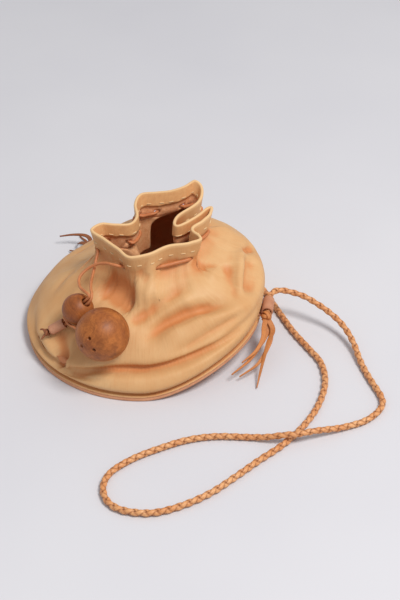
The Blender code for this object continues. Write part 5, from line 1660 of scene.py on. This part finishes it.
    def plait(self, line: Array) -> Surface:
        """Four flat laces plaited round the line, two to the left and two to the right.

        A lace's middle is line(s) + r(s) n(a), where its angle a turns once in a lay length L one
        way or the other, and r = r0 +- h cos(4 pi s / L) takes it over and under at each crossing.
        Its section is a flat oval bent to the strap's curve.
        """
        _, side, up = carried_frames(line)
        turns = lengths_along(line) / self.lay_length * 2 * math.pi
        core = self.diameter / 2 - self.lace_thickness / 2 - self.lace_dip
        angle = np.arange(10) / 10 * 2 * math.pi
        whole = None
        for way, start in ((1, 0.0), (1, math.pi), (-1, math.pi / 2), (-1, 1.5 * math.pi)):
            a = way * turns + start
            over = way * np.cos(2 * turns - math.pi / 2)
            out = np.cos(a)[:, None] * side + np.sin(a)[:, None] * up
            middle = line + out * (core + self.lace_dip * over)[:, None]
            lean = unit(np.gradient(middle, axis=0))
            across = unit(np.cross(lean, out))
            x = np.cos(angle)[None, :, None] * self.lace_width / 2
            bow = -(x**2) / (2.4 * self.diameter / 2)
            y = np.sign(np.sin(angle)) * np.abs(np.sin(angle)) ** 0.6
            thick = y[None, :, None] * self.lace_thickness / 2
            grid = middle[:, None] + across[:, None] * x + out[:, None] * (bow + thick)
            part = Surface.grid(grid, False, True, caps=True).painted(
                edge=np.broadcast_to(np.abs(np.cos(angle)), grid.shape[:2]),
                # under: painted shade, growing where the lace dives under the others.
                under=np.broadcast_to((0.5 - 0.5 * over)[:, None], grid.shape[:2]),
            )
            whole = part if whole is None else whole.joined(part)
        heart = tube_surface(line, core - 0.0002, 8)
        # The core takes the darkest tone: painted shade in the gaps between the laces.
        dark = np.ones(len(heart.points))
        return whole.joined(Surface(heart.points, heart.faces, {"edge": dark, "under": dark}))

    def keeper(self, side: Side) -> Surface:
        """A leather strip: flat on the flange, then wound once round the strap.

        Its middle line is straight along the tongue and then an arc of the keeper's radius, and its
        thickness grows from one layer of leather to the keeper's own.
        """
        centre, along, radial = self.keeper_frame(side)
        inner = self.diameter / 2 + self.shape.clearance
        outer = inner + self.keeper_wall
        tongue = self.shape.thickness
        reach = outer + self.keeper_outset + self.keeper_tongue
        flat = np.stack([np.linspace(-reach, -0.001, 14), np.full(14, tongue / 2 - outer)], axis=1)
        sweep = np.linspace(-0.5 * math.pi, 1.19 * math.pi, 70)
        bend = (inner + self.keeper_wall / 2) * np.stack([np.cos(sweep), np.sin(sweep)], axis=1)
        path = np.vstack([flat, bend])
        thickness = np.concatenate([np.linspace(tongue, self.keeper_wall, 14), np.full(70, self.keeper_wall)])
        line = centre + path[:, :1] * radial + path[:, 1:] * np.array([0.0, 0.0, 1.0])
        across = np.broadcast_to(along, line.shape)
        normal = unit(np.cross(unit(np.gradient(line, axis=0)), across))
        return strip_surface(line, across, normal, self.keeper_length, thickness, 0.3)

    def end_frame(self, side: Side) -> tuple[Array, Array]:
        """Centre of the knot beyond a keeper, and the direction in which the strap leaves it."""
        centre, along, _ = self.keeper_frame(side)
        way = -along if side is Side.RIGHT else along
        return centre + way * (self.keeper_length / 2 + 2 * self.shape.clearance + self.knot_radius), way

    def knot(self, side: Side) -> Surface:
        """A woven knot: the line (R + b cos 4t) round the strap's axis and h sin 4t along it, 3 times."""
        centre, way = self.end_frame(side)
        beside = unit(np.cross(way, (0.0, 0.0, 1.0)))
        up = np.cross(beside, way)
        t = np.linspace(0, 2 * math.pi, 300)
        radius = self.knot_ring + self.knot_wave * np.cos(4 * t)
        line = centre + (radius * np.cos(3 * t))[:, None] * beside + (radius * np.sin(3 * t))[:, None] * up
        line = line + (self.knot_reach * np.sin(4 * t))[:, None] * way
        out = unit(line - centre)
        across = unit(np.cross(unit(np.gradient(line, axis=0)), out))
        normal = np.cross(across, unit(np.gradient(line, axis=0)))
        ball = strip_surface(line, across, normal, *self.knot_lace, 0.6)
        heart = Surface.ball(centre, self.knot_heart, 14, 24)
        count = len(heart.points)
        # The core takes the dark edge tone: painted shade between the knot's laces.
        heart.attributes = {"along": np.zeros(count), "edge": np.ones(count), "around": np.zeros((count, 3))}
        return ball.joined(heart)

    def tail(self, side: Side, route: tuple, number: int) -> Surface:
        """A flat thong that narrows to its tip, w (1 - s^1.6) + t s^1.6 wide, with a slow twist."""
        centre, _ = self.end_frame(side)
        line = route_points(np.vstack([centre[None], np.array(route)]), 60)
        share = np.linspace(0, 1, 60)
        ahead = unit(np.gradient(line, axis=0))
        level = unit(np.cross(ahead, (0.0, 0.0, 1.0)))
        upright = np.cross(level, ahead)
        twist = (0.5 * math.sin(2.1 * number + 0.4) * np.sin(math.pi * share))[:, None]
        across = np.cos(twist) * level + np.sin(twist) * upright
        normal = np.cross(across, ahead)
        width = self.tail_width * (1 - share**1.6) + self.tail_tip * share**1.6
        return strip_surface(line, across, normal, width, self.tail_thickness, 0.4)

    def build(self) -> None:
        """The strap with all that is on it."""
        line = self.line()
        # The left end takes the darker tail leather: painted shade on the bag's shaded side.
        for side, finish in ((Side.RIGHT, TAIL_LEATHER), (Side.LEFT, TAIL_LEATHER_SHADED)):
            whole = self.knot(side)
            for number, route in enumerate(self.tails[side]):
                whole = whole.joined(self.tail(side, route, number))
            name = side.value
            knot = placed(whole, f"strap_knot_{name}", finish, Slot.BRAID, Body.BAG, f"strap_end_{name}")
            placed(
                self.keeper(side), f"leather_keeper_{name}", KEEPER_LEATHER, Slot.KEEPER, Body.BAG,
                f"strap_keeper_{name}",
            )
        strap = placed(self.plait(line), "plaited_strap", BRAID_LEATHER, Slot.BRAID, Body.BAG, "strap")


@dataclass
class Studio:
    """The camera at the photograph's angle, the pale floor, one soft lamp and the sky."""

    camera_place: tuple[float, float, float] = (0.0477, -0.8756, 0.71)
    camera_dip: float = 38.0
    lens: float = 78.0
    sky: float = 0.49
    sky_colour: tuple[float, float, float, float] = (0.96, 0.97, 1.0, 1.0)
    key_place: tuple[float, float, float] = (0.80, -0.72, 1.90)
    key_size: float = 0.66
    key_power: float = 33.0
    key_colour: tuple[float, float, float] = (1.0, 0.985, 0.96)
    aim: tuple[float, float, float] = (0.03, -0.03, 0.03)
    floor_reach: float = 4.0
    floor_level: float = -0.0002

    def camera(self) -> None:
        """A level camera that looks along +Y and down by the dip."""
        made = bpy.data.cameras.new("studio_camera")
        made.lens = self.lens
        made.sensor_width = 36.0
        held = bpy.data.objects.new("studio_camera", made)
        held.location = self.camera_place
        held.rotation_euler = (math.radians(90 - self.camera_dip), 0, 0)
        bpy.context.scene.collection.objects.link(held)
        bpy.context.scene.camera = held

    def lamp(self, name: str, place: tuple, size: float, power: float, colour: tuple) -> None:
        """A square area lamp that looks at the bag."""
        made = bpy.data.lights.new(name, "AREA")
        made.size = size
        made.energy = power
        made.color = colour
        held = bpy.data.objects.new(name, made)
        held.location = place
        ray = Vector(self.aim) - Vector(place)
        held.rotation_euler = ray.to_track_quat("-Z", "Y").to_euler()
        bpy.context.scene.collection.objects.link(held)

    def floor(self) -> None:
        """A wide pale floor just under the bag."""
        x, y = np.meshgrid([-self.floor_reach, self.floor_reach], [-self.floor_reach, self.floor_reach])
        grid = np.stack([x, y, np.full((2, 2), self.floor_level)], axis=2)
        mesh = Surface.grid(grid, False, False).mesh("studio_floor")
        mesh.materials.append(PALE_FLOOR.material())
        held = bpy.data.objects.new("studio_floor", mesh)
        bpy.context.scene.collection.objects.link(held)

    def build(self) -> None:
        """Camera, lights, world and floor."""
        self.camera()
        self.lamp("key_lamp", self.key_place, self.key_size, self.key_power, self.key_colour)
        world = bpy.data.worlds.new("studio_sky")
        world.use_nodes = True
        background = world.node_tree.nodes["Background"]
        background.inputs["Color"].default_value = self.sky_colour
        background.inputs["Strength"].default_value = self.sky
        bpy.context.scene.world = world
        bpy.context.scene.view_settings.view_transform = "Standard"
        self.floor()


def main() -> None:
    """Build the studio and every sub-assembly."""
    logging.basicConfig(level=logging.INFO, format="%(name)s %(message)s")
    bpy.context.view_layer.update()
    Studio().build()
    base = Base()
    shape = WallShape(base)
    Strap(shape).build()
    wall = Wall(shape)
    beads = Beads(wall)
    Drawstring(wall, beads).build(beads.build())
    base.build()
    wall.build()


if __name__ == "__main__":
    main()
